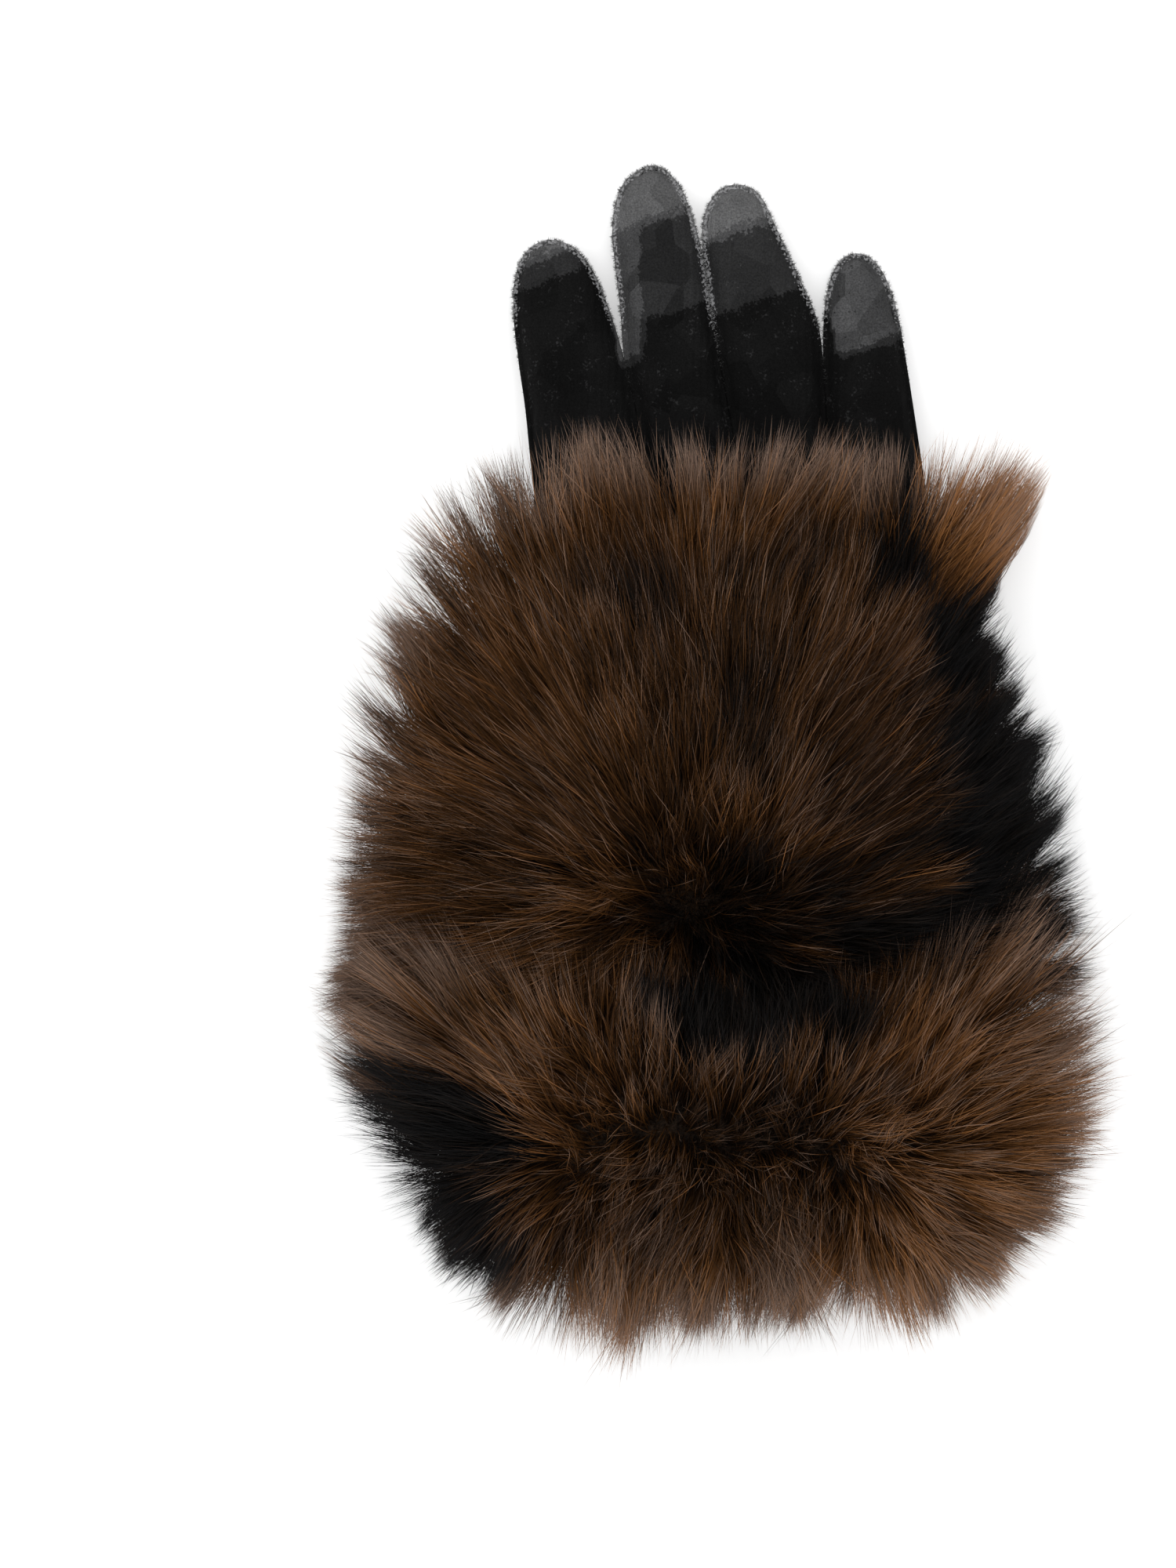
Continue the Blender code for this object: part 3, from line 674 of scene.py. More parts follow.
for side, upper, lower in (("back", backTop, backInside), ("palm", palmInside, palmBottom)):
    points, quads, triangles = layered(plan, planQuads, planTriangles, rim, upper, lower)
    panel = makePiece(side + "_jersey", points, quads, triangles, jerseyCloth)
    giveValue(panel, "tipShade", np.tile(tipShade, 2))
    giveValue(panel, "edgeNap", np.tile(edgeNap, 2))
    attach(panel, "root")
    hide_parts(*[side + "_" + digit for digit in digits])
print("cloth hand:", len(plan), "points in each layer")


# The outseam as closed runs of points: its edges chained from wrist end to wrist end.
def seamRun():
    following = dict(zip(seamEdges[:, 0].tolist(), seamEdges[:, 1].tolist()))
    place = (set(following) - set(following.values())).pop()
    run = [place]
    while place in following:
        place = following[place]
        run.append(place)
    return plan[run]


# Places at shares of a line's length, with the direction there.
def evenSteps(line, places):
    chord = lengthAlong(line)

    # Points at lengths along the line, straight between its own.
    def at(lengths):
        return np.stack([np.interp(lengths, chord, line[:, axis]) for axis in range(2)], 1)

    middle = places * chord[-1]
    return at(middle), unit(at(middle + thread["step"]) - at(middle - thread["step"])), chord[-1]


thread = {
    "pitch": 0.0021,
    "length": 0.0015,
    "radius": 0.00017,
    "inset": 0.00125,  # from the edge of the outseam
    "above": 0.00008,  # how far its middle lies over the cloth
    "rings": ((-1.0, 0.35), (-0.45, 1.0), (0.45, 1.0), (1.0, 0.35)),  # along and across, as shares
    "sides": 4,
    "step": 0.0006,  # length over which the seam's direction is taken
}


# Stitches: short beads with a ring of points at each share of their length, end to end on both sides of the
# outseam.
def makeStitches():
    line = seamRun()
    length = evenSteps(line, np.zeros(1))[2]
    count = int(length / thread["pitch"])
    at, way, _ = evenSteps(line, (np.arange(count) + 0.5) / count)
    inward = np.stack([-way[:, 1], way[:, 0]], 1)
    middle = at + inward * thread["inset"]
    share, width = columnsOf(thread["rings"])
    turn = np.linspace(0.0, 2.0 * np.pi, thread["sides"], endpoint=False)[:, None]
    run = np.column_stack([way, np.zeros(count)])[:, None, None]
    across = np.column_stack([inward, np.zeros(count)])[:, None, None]
    ring = np.cos(turn) * across + np.sin(turn) * np.array([0.0, 0.0, 1.0])
    shapes = []
    for side in (1.0, -1.0):
        rise = clothRise(np.full(count, thread["inset"])) + thread["above"]
        height = seamHeight(middle[:, 1]) + side * rise
        centre = np.column_stack([middle, height])[:, None, None]
        body = centre + run * (share * thread["length"] / 2)[:, None, None]
        shapes.append(body + ring * (width * thread["radius"])[:, None, None])
    points = np.concatenate(shapes)
    number, rings, sides = points.shape[:3]
    index = np.arange(number * rings * sides).reshape(number, rings, sides)
    index = np.concatenate([index, index[:, :, :1]], 2)
    near, far = index[:, :-1], index[:, 1:]
    quads = np.stack([near[:, :, :-1], near[:, :, 1:], far[:, :, 1:], far[:, :, :-1]], -1).reshape(-1, 4)
    first, last = index[:, 0, :-1], index[:, -1, :-1]
    caps = [np.stack([last[:, 0], last[:, step], last[:, step + 1]], 1) for step in range(1, sides - 1)]
    caps += [np.stack([first[:, 0], first[:, step + 1], first[:, step]], 1) for step in range(1, sides - 1)]
    piece = makePiece(
        "outseam_thread", points.reshape(-1, 3), quads, np.concatenate(caps), threadMaterial()
    )
    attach(piece, "root")
    return number


print("stitches:", makeStitches())


# Strands

# Ribbons along paths: at each point of a path but the last, two points half a width to each side of it, and
# the last one point. Their map holds the tone across and the place along, which ends early where tips stay
# dark.
def makeStrands(name, paths, facing, width, taper, tone, ending, material):
    count, points = paths.shape[:2]
    steps = points - 1
    along = unit(np.diff(paths, axis=1))
    across = unit(np.cross(along, facing[:, None]))
    half = across * (width[:, None] * taper[None, :steps])[:, :, None] * 0.5
    left, right = paths[:, :steps] - half, paths[:, :steps] + half
    body = np.stack([left, right], 2).reshape(count, steps * 2, 3)
    body = np.concatenate([body, paths[:, -1:]], 1)
    first = (np.arange(count) * (steps * 2 + 1))[:, None, None]
    step = np.arange(steps - 1)[None, :, None] * 2
    quads = (first + step + np.array([0, 1, 3, 2])).reshape(-1, 4)
    triangles = first[:, 0] + np.array([steps * 2 - 2, steps * 2 - 1, steps * 2])
    piece = makePiece(name, body.reshape(-1, 3), quads, triangles, material)
    side = np.array([-0.002, 0.002])
    tone = np.clip(tone, 0.01, 0.99)
    mapU = np.concatenate([np.repeat(tone[:, None], steps * 2, 1) + np.tile(side, steps), tone[:, None]], 1)
    mapV = np.concatenate([np.repeat(np.arange(steps) / steps, 2), [1.0]]) * 0.98 * ending[:, None] + 0.01
    uv = np.stack([mapU, mapV], -1).reshape(-1, 2)
    corners = np.concatenate([quads.ravel(), triangles.ravel()])
    layer = piece.data.uv_layers.new(name="OFBake")
    layer.data.foreach_set("uv", uv[corners].astype(np.float32).ravel())
    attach(piece, "root")
    return piece


# Paths that start one way and end another: the direction turns evenly from the first to the second.
def growPaths(roots, first, second, lengths, steps, turnEarly=0.8):
    share = ((np.arange(steps) + 0.5) / steps) ** turnEarly
    ways = unit(first[:, None] * (1.0 - share[None, :, None]) + second[:, None] * share[None, :, None])
    moves = np.cumsum(ways * (lengths / steps)[:, None, None], 1)
    return np.concatenate([roots[:, None], roots[:, None] + moves], 1)


nap = {
    "count": 10000,
    "length": (0.0004, 0.0013),
    "width": 0.00009,
    "depth": 0.0005,  # how far in from the edge it is rooted
    "starts": (0.172, 0.198),  # Y over which it grows thick
    "bare": 0.03,  # share of it that grows below
    "clumps": 0.0022,
    "upperShare": 0.65,
    "shades": ((0.0, 0.008), (0.45, 0.06), (0.8, 0.24), (1.0, 0.52)),
}


# Fringe of the outseam: short fibres that stand out of its edge, most of them near the finger ends.
def makeNap():
    dice = np.random.default_rng(21)
    line = seamRun()
    at, way, _ = evenSteps(line, dice.random(nap["count"] * 5))
    near = smoothStep(*nap["starts"], at[:, 1])
    clumps = 0.5 + 0.5 * softWaves(at, nap["clumps"], 23)
    chance = (nap["bare"] + (1.0 - nap["bare"]) * near) * clumps
    keep = np.flatnonzero(dice.random(len(at)) < chance)[: nap["count"]]
    at, way, near = at[keep], way[keep], near[keep]
    count = len(at)
    inward = np.stack([-way[:, 1], way[:, 0]], 1)
    depth = np.abs(dice.normal(0.0, nap["depth"], count))
    root = at + inward * depth[:, None]
    side = np.where(dice.random(count) < nap["upperShare"], 1.0, -1.0)
    height = seamHeight(root[:, 1]) + side * clothRise(depth) * dice.uniform(0.5, 1.0, count)
    level = -inward + way * dice.normal(0.0, 0.6, (count, 1))
    out = unit(np.column_stack([level, side * dice.uniform(0.1, 0.9, count)]))
    length = dice.uniform(*nap["length"], count) * (0.5 + 0.5 * near)
    later = unit(out + dice.normal(0.0, 0.35, (count, 3)))
    paths = growPaths(np.column_stack([root, height]), out, later, length, 2)
    tone = np.clip(dice.beta(1.3, 1.3, count) * (0.25 + 0.75 * near), 0.02, 0.98)
    facing = unit(dice.normal(0.0, 0.6, (count, 3)) + np.array([0.0, 0.0, 1.0]))
    even = np.ones(count)
    taper = np.array([1.0, 0.8])
    piece = makeStrands("outseam_nap", paths, facing, even * nap["width"], taper, tone, even, napMaterial())
    return count


print("nap fibres:", makeNap())

# Fur

fur = {
    "backWidth": 0.140,
    "backLength": 0.110,
    "backEnd": 0.0278,  # Y of its edge at the wrist seam
    "crown": 0.0410,  # height of the dense pile
    "rim": 0.0100,
    "rimPile": 0.0065,
    "dome": (2.8, 4.0, 2.4, 0.62),  # powers of its round across and along, then of its fall
    "underReach": 0.006,
    "cuffWidth": 0.138,
    "cuffLength": 0.0575,
    "cuffFront": 0.0268,
    "cuffHeight": 0.0440,
    "cuffFloor": 0.0048,
    "loopPower": 2.6,  # 2 is an ellipse, more is squarer
    "loopMiddle": 0.42,  # height of a loop's widest place as a share
    "flatness": (1.16, 1.10),  # how flat it is cut underneath, outside and inside
    "ground": 0.0030,  # how deep under the dense pile the strands are rooted
    "groundLeast": 0.0015,
    "tableGap": 0.0004,
    "strandLength": 0.031,
    "pastOutline": 0.006,  # how far single strands may pass the outline
    "ceiling": 0.0610,  # above this height the hair bends over
    "strandWidth": 0.00019,
}

# Sections across the fur panel: Y as a share of its length, both edges as shares of its width, forward bow
furTable = (
    (0.00, -0.535, 0.462, 0.00),
    (0.07, -0.566, 0.488, 0.00),
    (0.25, -0.556, 0.476, 0.00),
    (0.45, -0.526, 0.456, 0.01),
    (0.62, -0.494, 0.440, 0.02),
    (0.78, -0.448, 0.420, 0.03),
    (0.90, -0.392, 0.386, 0.04),
    (1.00, -0.300, 0.312, 0.05),
)

# Sections round the cuff: Y from its front as a share of its length, half width and height, then half width
# and ceiling of the hollow, as shares of the cuff's width and height
cuffTable = (
    (0.00, 0.372, 0.63, 0.290, 0.385),
    (0.10, 0.424, 0.81, 0.298, 0.395),
    (0.22, 0.462, 0.93, 0.310, 0.415),
    (0.35, 0.486, 0.99, 0.324, 0.440),
    (0.49, 0.497, 1.00, 0.340, 0.475),
    (0.63, 0.497, 0.97, 0.356, 0.515),
    (0.77, 0.488, 0.91, 0.374, 0.560),
    (0.89, 0.472, 0.84, 0.390, 0.605),
    (1.00, 0.452, 0.76, 0.404, 0.650),
)

# Outline of the hair from above round a middle: angle in degrees from +X, then reach as a share of the half
# size that way
backMiddle = np.array([-0.071 * fur["backWidth"], fur["backEnd"] + 0.347 * fur["backLength"]])
backReach = (
    (-170.0, 1.264),
    (-150.0, 1.502),
    (-90.0, 1.950),
    (-30.0, 1.652),
    (-17.0, 1.496),
    (0.0, 1.329),
    (15.0, 1.317),
    (30.0, 1.350),
    (38.0, 1.400),
    (41.5, 1.480),
    (43.5, 1.740),
    (46.5, 1.990),
    (51.0, 2.100),
    (56.0, 1.997),
    (61.0, 1.818),
    (75.0, 1.799),
    (103.0, 1.790),
    (115.0, 1.850),
    (124.0, 1.800),
    (130.0, 1.670),
    (142.0, 1.430),
    (164.0, 1.247),
    (180.0, 1.243),
)
# Where the hair of each mass parts: both ends of a short line
backSource = np.array([[-0.0095, 0.0460], [-0.0090, 0.0460]])
cuffSource = np.array([[-0.0260, -0.0060], [0.0290, -0.0080]])
cuffMiddle = np.array([0.029 * fur["cuffWidth"], fur["cuffFront"] - 0.379 * fur["cuffLength"]])
cuffReach = (
    (-169.0, 1.369),
    (-157.0, 1.350),
    (-141.0, 1.480),
    (-120.0, 1.850),
    (-110.0, 1.890),
    (-93.0, 2.050),
    (-74.0, 1.820),
    (-51.0, 1.536),
    (-34.0, 1.330),
    (-15.0, 1.253),
    (0.0, 1.304),
    (15.0, 1.342),
    (90.0, 3.400),
    (160.0, 1.647),
    (168.0, 1.579),
    (176.0, 1.423),
)

# Patches of colour on the hair, laid on in this order: X, Y, half width, half length, tone from black to pale
backTone = 0.55
backPatches = (
    (-0.044, 0.097, 0.034, 0.030, 0.64),
    (-0.025, 0.135, 0.040, 0.022, 0.60),
    (0.020, 0.143, 0.034, 0.018, 0.62),
    (-0.003, 0.103, 0.026, 0.026, 0.48),
    (-0.024, 0.124, 0.016, 0.008, 0.36),
    (0.014, 0.130, 0.014, 0.008, 0.34),
    (0.034, 0.084, 0.026, 0.030, 0.42),
    (0.004, 0.092, 0.008, 0.014, 0.32),
    (-0.010, 0.062, 0.018, 0.014, 0.48),
    (0.012, 0.050, 0.036, 0.016, 0.28),
    (-0.050, 0.056, 0.026, 0.024, 0.60),
    # This row and the next: near-black hair in the crease between the dome and the cuff, painted shade of the
    # crease
    (0.006, 0.030, 0.032, 0.011, 0.10),
    (0.036, 0.042, 0.020, 0.008, 0.10),
    (0.043, 0.134, 0.014, 0.013, 0.06),
    (0.054, 0.112, 0.013, 0.020, 0.04),
    (0.066, 0.076, 0.022, 0.044, 0.03),
    (0.062, 0.048, 0.021, 0.024, 0.03),
    (0.059, 0.149, 0.016, 0.026, 0.93),
)
cuffTone = 0.56
cuffPatches = (
    (-0.046, 0.006, 0.028, 0.022, 0.70),
    (0.006, 0.002, 0.024, 0.012, 0.38),
    # Near-black hair in the crease between the dome and the cuff, painted shade of the crease
    (0.006, 0.022, 0.032, 0.009, 0.07),
    (0.044, 0.034, 0.018, 0.007, 0.46),
    (-0.006, -0.024, 0.034, 0.013, 0.47),
    (0.020, -0.014, 0.010, 0.010, 0.40),
    (0.006, -0.044, 0.060, 0.011, 0.64),
    (-0.032, -0.050, 0.014, 0.013, 0.80),
    (0.062, -0.004, 0.034, 0.034, 0.77),
    (0.046, -0.032, 0.032, 0.020, 0.78),
    (0.086, 0.036, 0.018, 0.022, 0.68),
    (-0.074, -0.006, 0.022, 0.018, 0.03),
    (-0.068, -0.028, 0.017, 0.016, 0.05),
    (-0.084, 0.020, 0.024, 0.007, 0.60),
)


# The highest cloth within reach of each place, or just off the table where there is none.
def overHand(points, reach):
    height = np.full(len(points), fur["tableGap"])
    for radius in (0.0, reach * 0.5, reach):
        for turn in np.linspace(0.0, 2.0 * np.pi, 8, endpoint=False):
            near = points + radius * np.array([np.cos(turn), np.sin(turn)])
            height = np.maximum(height, clothAt(near) + hand["gap"])
    return height


# A chart of the cloth's top over the table: the highest of each cell of a millimetre and the cells round it.
chartCell = 0.001
chartLow = plan.min(0) - 0.004
chartSize = np.ceil((plan.max(0) + 0.004 - chartLow) / chartCell).astype(int)
chart = np.zeros(chartSize)
cellMiddles = np.concatenate([plan[planQuads].mean(1), plan[planTriangles].mean(1)])
cellTops = np.concatenate([backTop[planQuads].max(1), backTop[planTriangles].max(1)])
chartPlaces = ((cellMiddles - chartLow) / chartCell).astype(int)
np.maximum.at(chart, (chartPlaces[:, 0], chartPlaces[:, 1]), cellTops)
for axis in (0, 1):
    chart = np.maximum(chart, np.maximum(np.roll(chart, 1, axis), np.roll(chart, -1, axis)))


# The cloth's top at places on the plan, read from the chart, and 0 beside the glove.
def clothAt(points):
    place = ((points - chartLow) / chartCell).astype(int)
    inside = ((place >= 0) & (place < chartSize)).all(-1)
    place = np.clip(place, 0, chartSize - 1)
    return np.where(inside, chart[place[..., 0], place[..., 1]], 0.0)


# The dense pile over the hand as a grid: its plan from the table, its top a flattened dome, its underside
# clear of the cloth.
def backSurface(rows, columns):
    share, leftEdge, rightEdge, bow = columnsOf(furTable)
    v = np.linspace(0.0, 1.0, rows + 1)[:, None]
    u = np.linspace(-1.0, 1.0, columns + 1)[None, :]
    left = np.interp(v, share, leftEdge) * fur["backWidth"]
    right = np.interp(v, share, rightEdge) * fur["backWidth"]
    bows = np.interp(v, share, bow) * fur["backLength"]
    x = left + (right - left) * (u + 1.0) / 2.0
    y = fur["backEnd"] + v * (fur["backLength"] - bows.max()) + bows * (1.0 - u**2)
    acrossPower, alongPower, domePower, domeRoot = fur["dome"]
    spread = np.abs(u) ** acrossPower + np.abs(2.0 * v - 1.0) ** alongPower
    spread = np.clip(spread ** (1.0 / 3.0), 0.0, 1.0)
    top = fur["rim"] + (fur["crown"] - fur["rim"]) * (1.0 - spread**domePower) ** domeRoot
    under = overHand(np.stack([x, y], -1).reshape(-1, 2), fur["underReach"]).reshape(x.shape)
    return x, y, np.maximum(top, under + fur["rimPile"]), under


# A loop round the cuff: a rounded oblong, its power curve cut flat underneath.
def cuffLoop(half, floor, ceiling, flatness, around):
    turn = np.linspace(0.0, 2.0 * np.pi, around + 1)[None, :] - np.pi / 2
    power = 2.0 / fur["loopPower"]
    x = half * np.sign(np.cos(turn)) * np.abs(np.cos(turn)) ** power
    middle = floor + (ceiling - floor) * fur["loopMiddle"]
    up = np.sign(np.sin(turn)) * np.abs(np.sin(turn)) ** power
    z = np.where(up > 0, middle + (ceiling - middle) * up, middle + (middle - floor) * flatness * up)
    return x, np.maximum(z, floor)


# Outer and inner wall of the cuff as grids of loops.
def cuffSurface(rows, around, shrink):
    columns = columnsOf(cuffTable)
    places = np.linspace(0.0, 1.0, rows + 1)
    columns = [np.interp(places, columns[0], column)[:, None] for column in columns]
    share, half, height, holeHalf, holeHeight = columns
    y = fur["cuffFront"] - share * fur["cuffLength"]
    width, tall = fur["cuffWidth"], fur["cuffHeight"]
    walls = []
    for sizes, flatness in zip(
        (
            (half * width - shrink, shrink * 0.5, height * tall - shrink),
            (holeHalf * width, fur["cuffFloor"], holeHeight * tall),
        ),
        fur["flatness"],
    ):
        x, z = cuffLoop(*sizes, flatness, around)
        walls.append(np.stack([x, np.broadcast_to(y, x.shape), z], -1))
    return walls


pileGround = groundMaterial("pileGround", (0.004, 0.003, 0.0025), (0.030, 0.018, 0.011))


# Ground of the fur panel: the dense pile drawn in by the depth of the roots, closed underneath.
def makeBackGround():
    x, y, top, under = backSurface(48, 56)
    middleX = x.mean(1, keepdims=True)
    x = middleX + (x - middleX) * (1.0 - fur["ground"] / (fur["backWidth"] / 2))
    y = np.clip(y, None, y.max() - fur["ground"])
    top = np.maximum(top - fur["ground"], under + fur["groundLeast"])
    places = np.stack([x, y], -1)
    top = top + 0.0006 * softWaves(places, 0.007, 11)
    quads = gridQuads(np.arange(x.size).reshape(x.shape))
    none = np.zeros((0, 3), int)
    edges = openEdges(quads, none)
    shape = layered(places.reshape(-1, 2), quads, none, edges, top.ravel(), under.ravel())
    piece = makePiece("fur_back_ground", *shape, pileGround)
    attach(piece, "root")
    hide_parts("fur_back")


# Ground of the cuff: outer loops drawn in, inner loops, and a ring at each end to join them.
def makeCuffGround():
    outer, inner = [wall[:, :-1] for wall in cuffSurface(36, 72, fur["ground"])]
    rows, around = outer.shape[:2]
    count = rows * around
    index = np.arange(count).reshape(rows, around)
    closed = np.concatenate([index, index[:, :1]], 1)
    outerQuads = gridQuads(closed)
    innerQuads = gridQuads(closed)[:, ::-1] + count
    front = np.stack([closed[0, 1:], closed[0, :-1], closed[0, :-1] + count, closed[0, 1:] + count], 1)
    back = np.stack([closed[-1, :-1], closed[-1, 1:], closed[-1, 1:] + count, closed[-1, :-1] + count], 1)
    points = np.concatenate([outer.reshape(-1, 3), inner.reshape(-1, 3)])
    quads = np.concatenate([outerQuads, innerQuads, front, back])
    piece = makePiece("fur_cuff_ground", points, quads, np.zeros((0, 3), int), pileGround)
    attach(piece, "root")
    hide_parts("fur_cuff")


makeBackGround()
makeCuffGround()
print("fur grounds")


# Patches of a surface that hair grows on: the roof of the panel and its three free sides.
def backPatchesOf():
    x, y, top, under = backSurface(48, 56)
    roof = np.stack([x, y, top], -1)
    base = np.stack([x, y, np.minimum(under, top - 0.004)], -1)
    share = np.linspace(0.0, 1.0, 4)[:, None, None]
    sides = ((roof[-1], base[-1]), (roof[::-1, 0], base[::-1, 0]), (roof[:, -1], base[:, -1]))
    return [roof] + [upper * (1.0 - share) + lower * share for upper, lower in sides]


# The cuff's: its outer wall, and the ring round its mouth.
def cuffPatchesOf():
    outer, inner = cuffSurface(40, 84, 0.0)
    share = np.linspace(0.0, 1.0, 5)[:, None, None]
    return [outer, outer[-1] * (1.0 - share) + inner[-1] * share]


# Edge of each mass on the plan, open at the wrist seam.
def backBorder():
    points = np.stack(backSurface(24, 24)[:2], -1)
    return np.concatenate([points[:, 0], points[-1, 1:-1], points[::-1, -1]])


# The same for the cuff: the ends of its loops on the left, then on the right.
def cuffBorder():
    outer = cuffSurface(16, 48, 0.0)[0][..., :2]
    left, right = outer[:, :, 0].argmin(1), outer[:, :, 0].argmax(1)
    rows = np.arange(len(outer))
    return np.concatenate([outer[rows, left], outer[rows, right][::-1]])


# The four corners of each cell of a grid of points.
def cellsOf(grid):
    return grid.reshape(-1, 3)[gridQuads(np.arange(grid[..., 0].size).reshape(grid.shape[:2]))]


# Roots spread over a mass: cells drawn by their area and more often where the hair is thick, and in each a
# chance place between its corners. The outward direction is the cell's, turned away from the mass's middle.
def spreadRoots(mass, count, dice):
    corners = np.concatenate([cellsOf(grid) for grid in mass["patches"]])
    out = np.cross(corners[:, 2] - corners[:, 0], corners[:, 3] - corners[:, 1])
    area = np.linalg.norm(out, axis=1)
    for x, y, radius, more in mass["thick"]:
        far = ((corners[:, 0, :2] - np.array([x, y])) ** 2).sum(1) / radius**2
        area = area * (1.0 + more * np.exp(-far))
    cell = dice.choice(len(area), count, p=area / area.sum())
    s, t = dice.random((2, count, 1))
    held = corners[cell]
    place = held[:, 0] * (1 - s) * (1 - t) + held[:, 1] * s * (1 - t)
    place = place + held[:, 2] * s * t + held[:, 3] * (1 - s) * t
    outward = unit(out[cell])
    flip = ((place - mass["middle"]) * outward).sum(1) < 0.0
    return place, np.where(flip[:, None], -outward, outward)


# How far the hair of a mass reaches from its centre towards each place.
def reachTowards(away, mass):
    angle, share = columnsOf(mass["reach"])
    turn = np.arctan2(away[:, 1], away[:, 0])
    half = np.hypot(np.cos(turn) * mass["width"], np.sin(turn) * mass["length"]) / 2.0
    return np.interp(np.degrees(turn), angle, share, period=360.0) * half


# How far each place on the plan lies outside that outline.
def beyondOutline(places, mass):
    away = places - mass["centre"]
    return np.linalg.norm(away, axis=1) - reachTowards(away, mass)


# The nearest place on the line where the hair parts, moved about by slow waves.
def partingNear(mass, places):
    start, end = mass["source"]
    share = np.clip((places - start) @ (end - start) / ((end - start) ** 2).sum(), 0.0, 1.0)[:, None]
    waver = [softWaves(places, 0.030, mass["seed"] + step) for step in (7, 8)]
    return start + share * (end - start) + mass["waver"] * np.stack(waver, 1)


# Which way the hair lies: away from its parting, turned upwards on the little finger's side.
def layAt(mass, places):
    away = unit(places - partingNear(mass, places))
    side = smoothStep(-0.020, 0.040, places[:, 0]) * smoothStep(-0.020, 0.030, places[:, 1])
    away[:, 1] += mass["rising"] * side
    return unit(away)


# Tone at places on the plan: the patches laid one after another, each with a wavering soft edge.
def toneAt(points, start, patches):
    tone = np.full(len(points), start)
    waver = 0.30 * softWaves(points, 0.016, 5) + 0.16 * softWaves(points, 0.006, 6)
    for x, y, halfWidth, halfLength, value in patches:
        away = np.hypot((points[:, 0] - x) / halfWidth, (points[:, 1] - y) / halfLength) + waver
        tone += (value - tone) * (1.0 - smoothStep(0.72, 1.12, away))
    return tone


# The nearest guide to each root, worked out a few thousand at a time.
def nearestGuide(roots, guides):
    found = []
    for first in range(0, len(roots), 4000):
        part = roots[first : first + 4000]
        apart = ((part**2).sum(1)[:, None] + (guides**2).sum(1)[None]) - 2.0 * part @ guides.T
        found.append(apart.argmin(1))
    return np.concatenate(found)


# How the hair is combed. Angles are in degrees from straight out, lengths in metres. Pairs of a lean give it
# where the hair parts and what is added away from there.
comb = {
    "firstLean": (12.0, 26.0),
    "lastLean": (34.0, 44.0),
    "rimLean": 8.0,  # added to the last at the rim
    "unevenLean": 7.0,
    "stirred": 4.0,  # how much more the ways differ where the hair stands up
    "sink": (0.10, 0.08),  # how far the ends sink, away from the parting and at the rim
    "creaseAt": (0.010, 0.027),
    "creaseSize": (0.028, 0.013),
    "creaseShort": 0.35,
    "rimWithin": (0.004, 0.017),  # from the edge of the mass
    "rimBelow": (0.004, 0.014),  # over the table
    "lengthShare": (0.62, 0.38),  # where the hair parts and what is added away from there
    "uneven": (0.84, 1.12),
    "reach": (0.010, 0.050),  # least and greatest length of a strand that ends on the outline
    "least": 0.011,
}


# First and last direction and length of the hair of one mass. In the middle and along the crease it stands
# up, short and every way; farther out it leans more, and at the rim it reaches to the outline.
def combHair(mass, roots, outward, dice, scatter):
    count = len(roots)
    places = roots[:, :2]
    away = places - mass["centre"]
    distance = np.linalg.norm(away, axis=1)
    middle = np.exp(-((np.linalg.norm(places - partingNear(mass, places), axis=1) / mass["calm"]) ** 2))
    (creaseX, creaseY), (creaseHalf, creaseLong) = comb["creaseAt"], comb["creaseSize"]
    creaseFar = ((places[:, 0] - creaseX) / creaseHalf) ** 2, ((places[:, 1] - creaseY) / creaseLong) ** 2
    crease = np.exp(-creaseFar[0] - creaseFar[1])
    stand = 1.0 - (1.0 - middle) * (1.0 - crease)
    lean = 1.0 - stand
    way = layAt(mass, places)
    turn = np.arctan2(way[:, 1], way[:, 0])
    turn += dice.normal(0.0, scatter, count) * (1.0 + comb["stirred"] * stand)
    turn += mass["swirl"][0] * softWaves(places, 0.045, mass["seed"])
    turn += mass["swirl"][1] * softWaves(places, 0.016, mass["seed"] + 1)
    lay = np.column_stack([np.cos(turn), np.sin(turn), np.zeros(count)])
    reach = reachTowards(away, mass)
    toEdge = distanceTo(places, mass["border"][:-1], mass["border"][1:])
    atRim = 1.0 - smoothStep(*comb["rimWithin"], toEdge)
    atRim = np.maximum(atRim, 1.0 - smoothStep(*comb["rimBelow"], roots[:, 2]))
    lift = np.radians(dice.normal(0.0, comb["unevenLean"], count))
    start = np.radians(comb["firstLean"][0] + comb["firstLean"][1] * lean) + lift
    end = np.radians(comb["lastLean"][0] + comb["lastLean"][1] * lean + comb["rimLean"] * atRim) + lift
    first = unit(outward * np.cos(start)[:, None] + lay * np.sin(start)[:, None])
    second = outward * np.cos(end)[:, None] + lay * np.sin(end)[:, None]
    second[:, 2] -= comb["sink"][0] * lean + comb["sink"][1] * atRim
    second = unit(second)
    base = fur["strandLength"] * (comb["lengthShare"][0] + comb["lengthShare"][1] * lean)
    base *= dice.uniform(*comb["uneven"], count)
    base *= 1.0 - comb["creaseShort"] * crease
    level = 0.5 * (np.linalg.norm(first[:, :2], axis=1) + np.linalg.norm(second[:, :2], axis=1))
    straight = (lay[:, :2] * unit(away)).sum(1)
    toOutline = np.clip((reach - distance) / np.maximum(level * straight, 0.50), *comb["reach"])
    for _ in range(3):
        over = beyondOutline(places + lay[:, :2] * (toOutline * level)[:, None], mass)
        toOutline = np.clip(toOutline - over / np.maximum(level * straight, 0.60), *comb["reach"])
    length = base * (1.0 - atRim) + toOutline * atRim
    return first, second, np.minimum(length, np.maximum(toOutline, comb["least"])), atRim


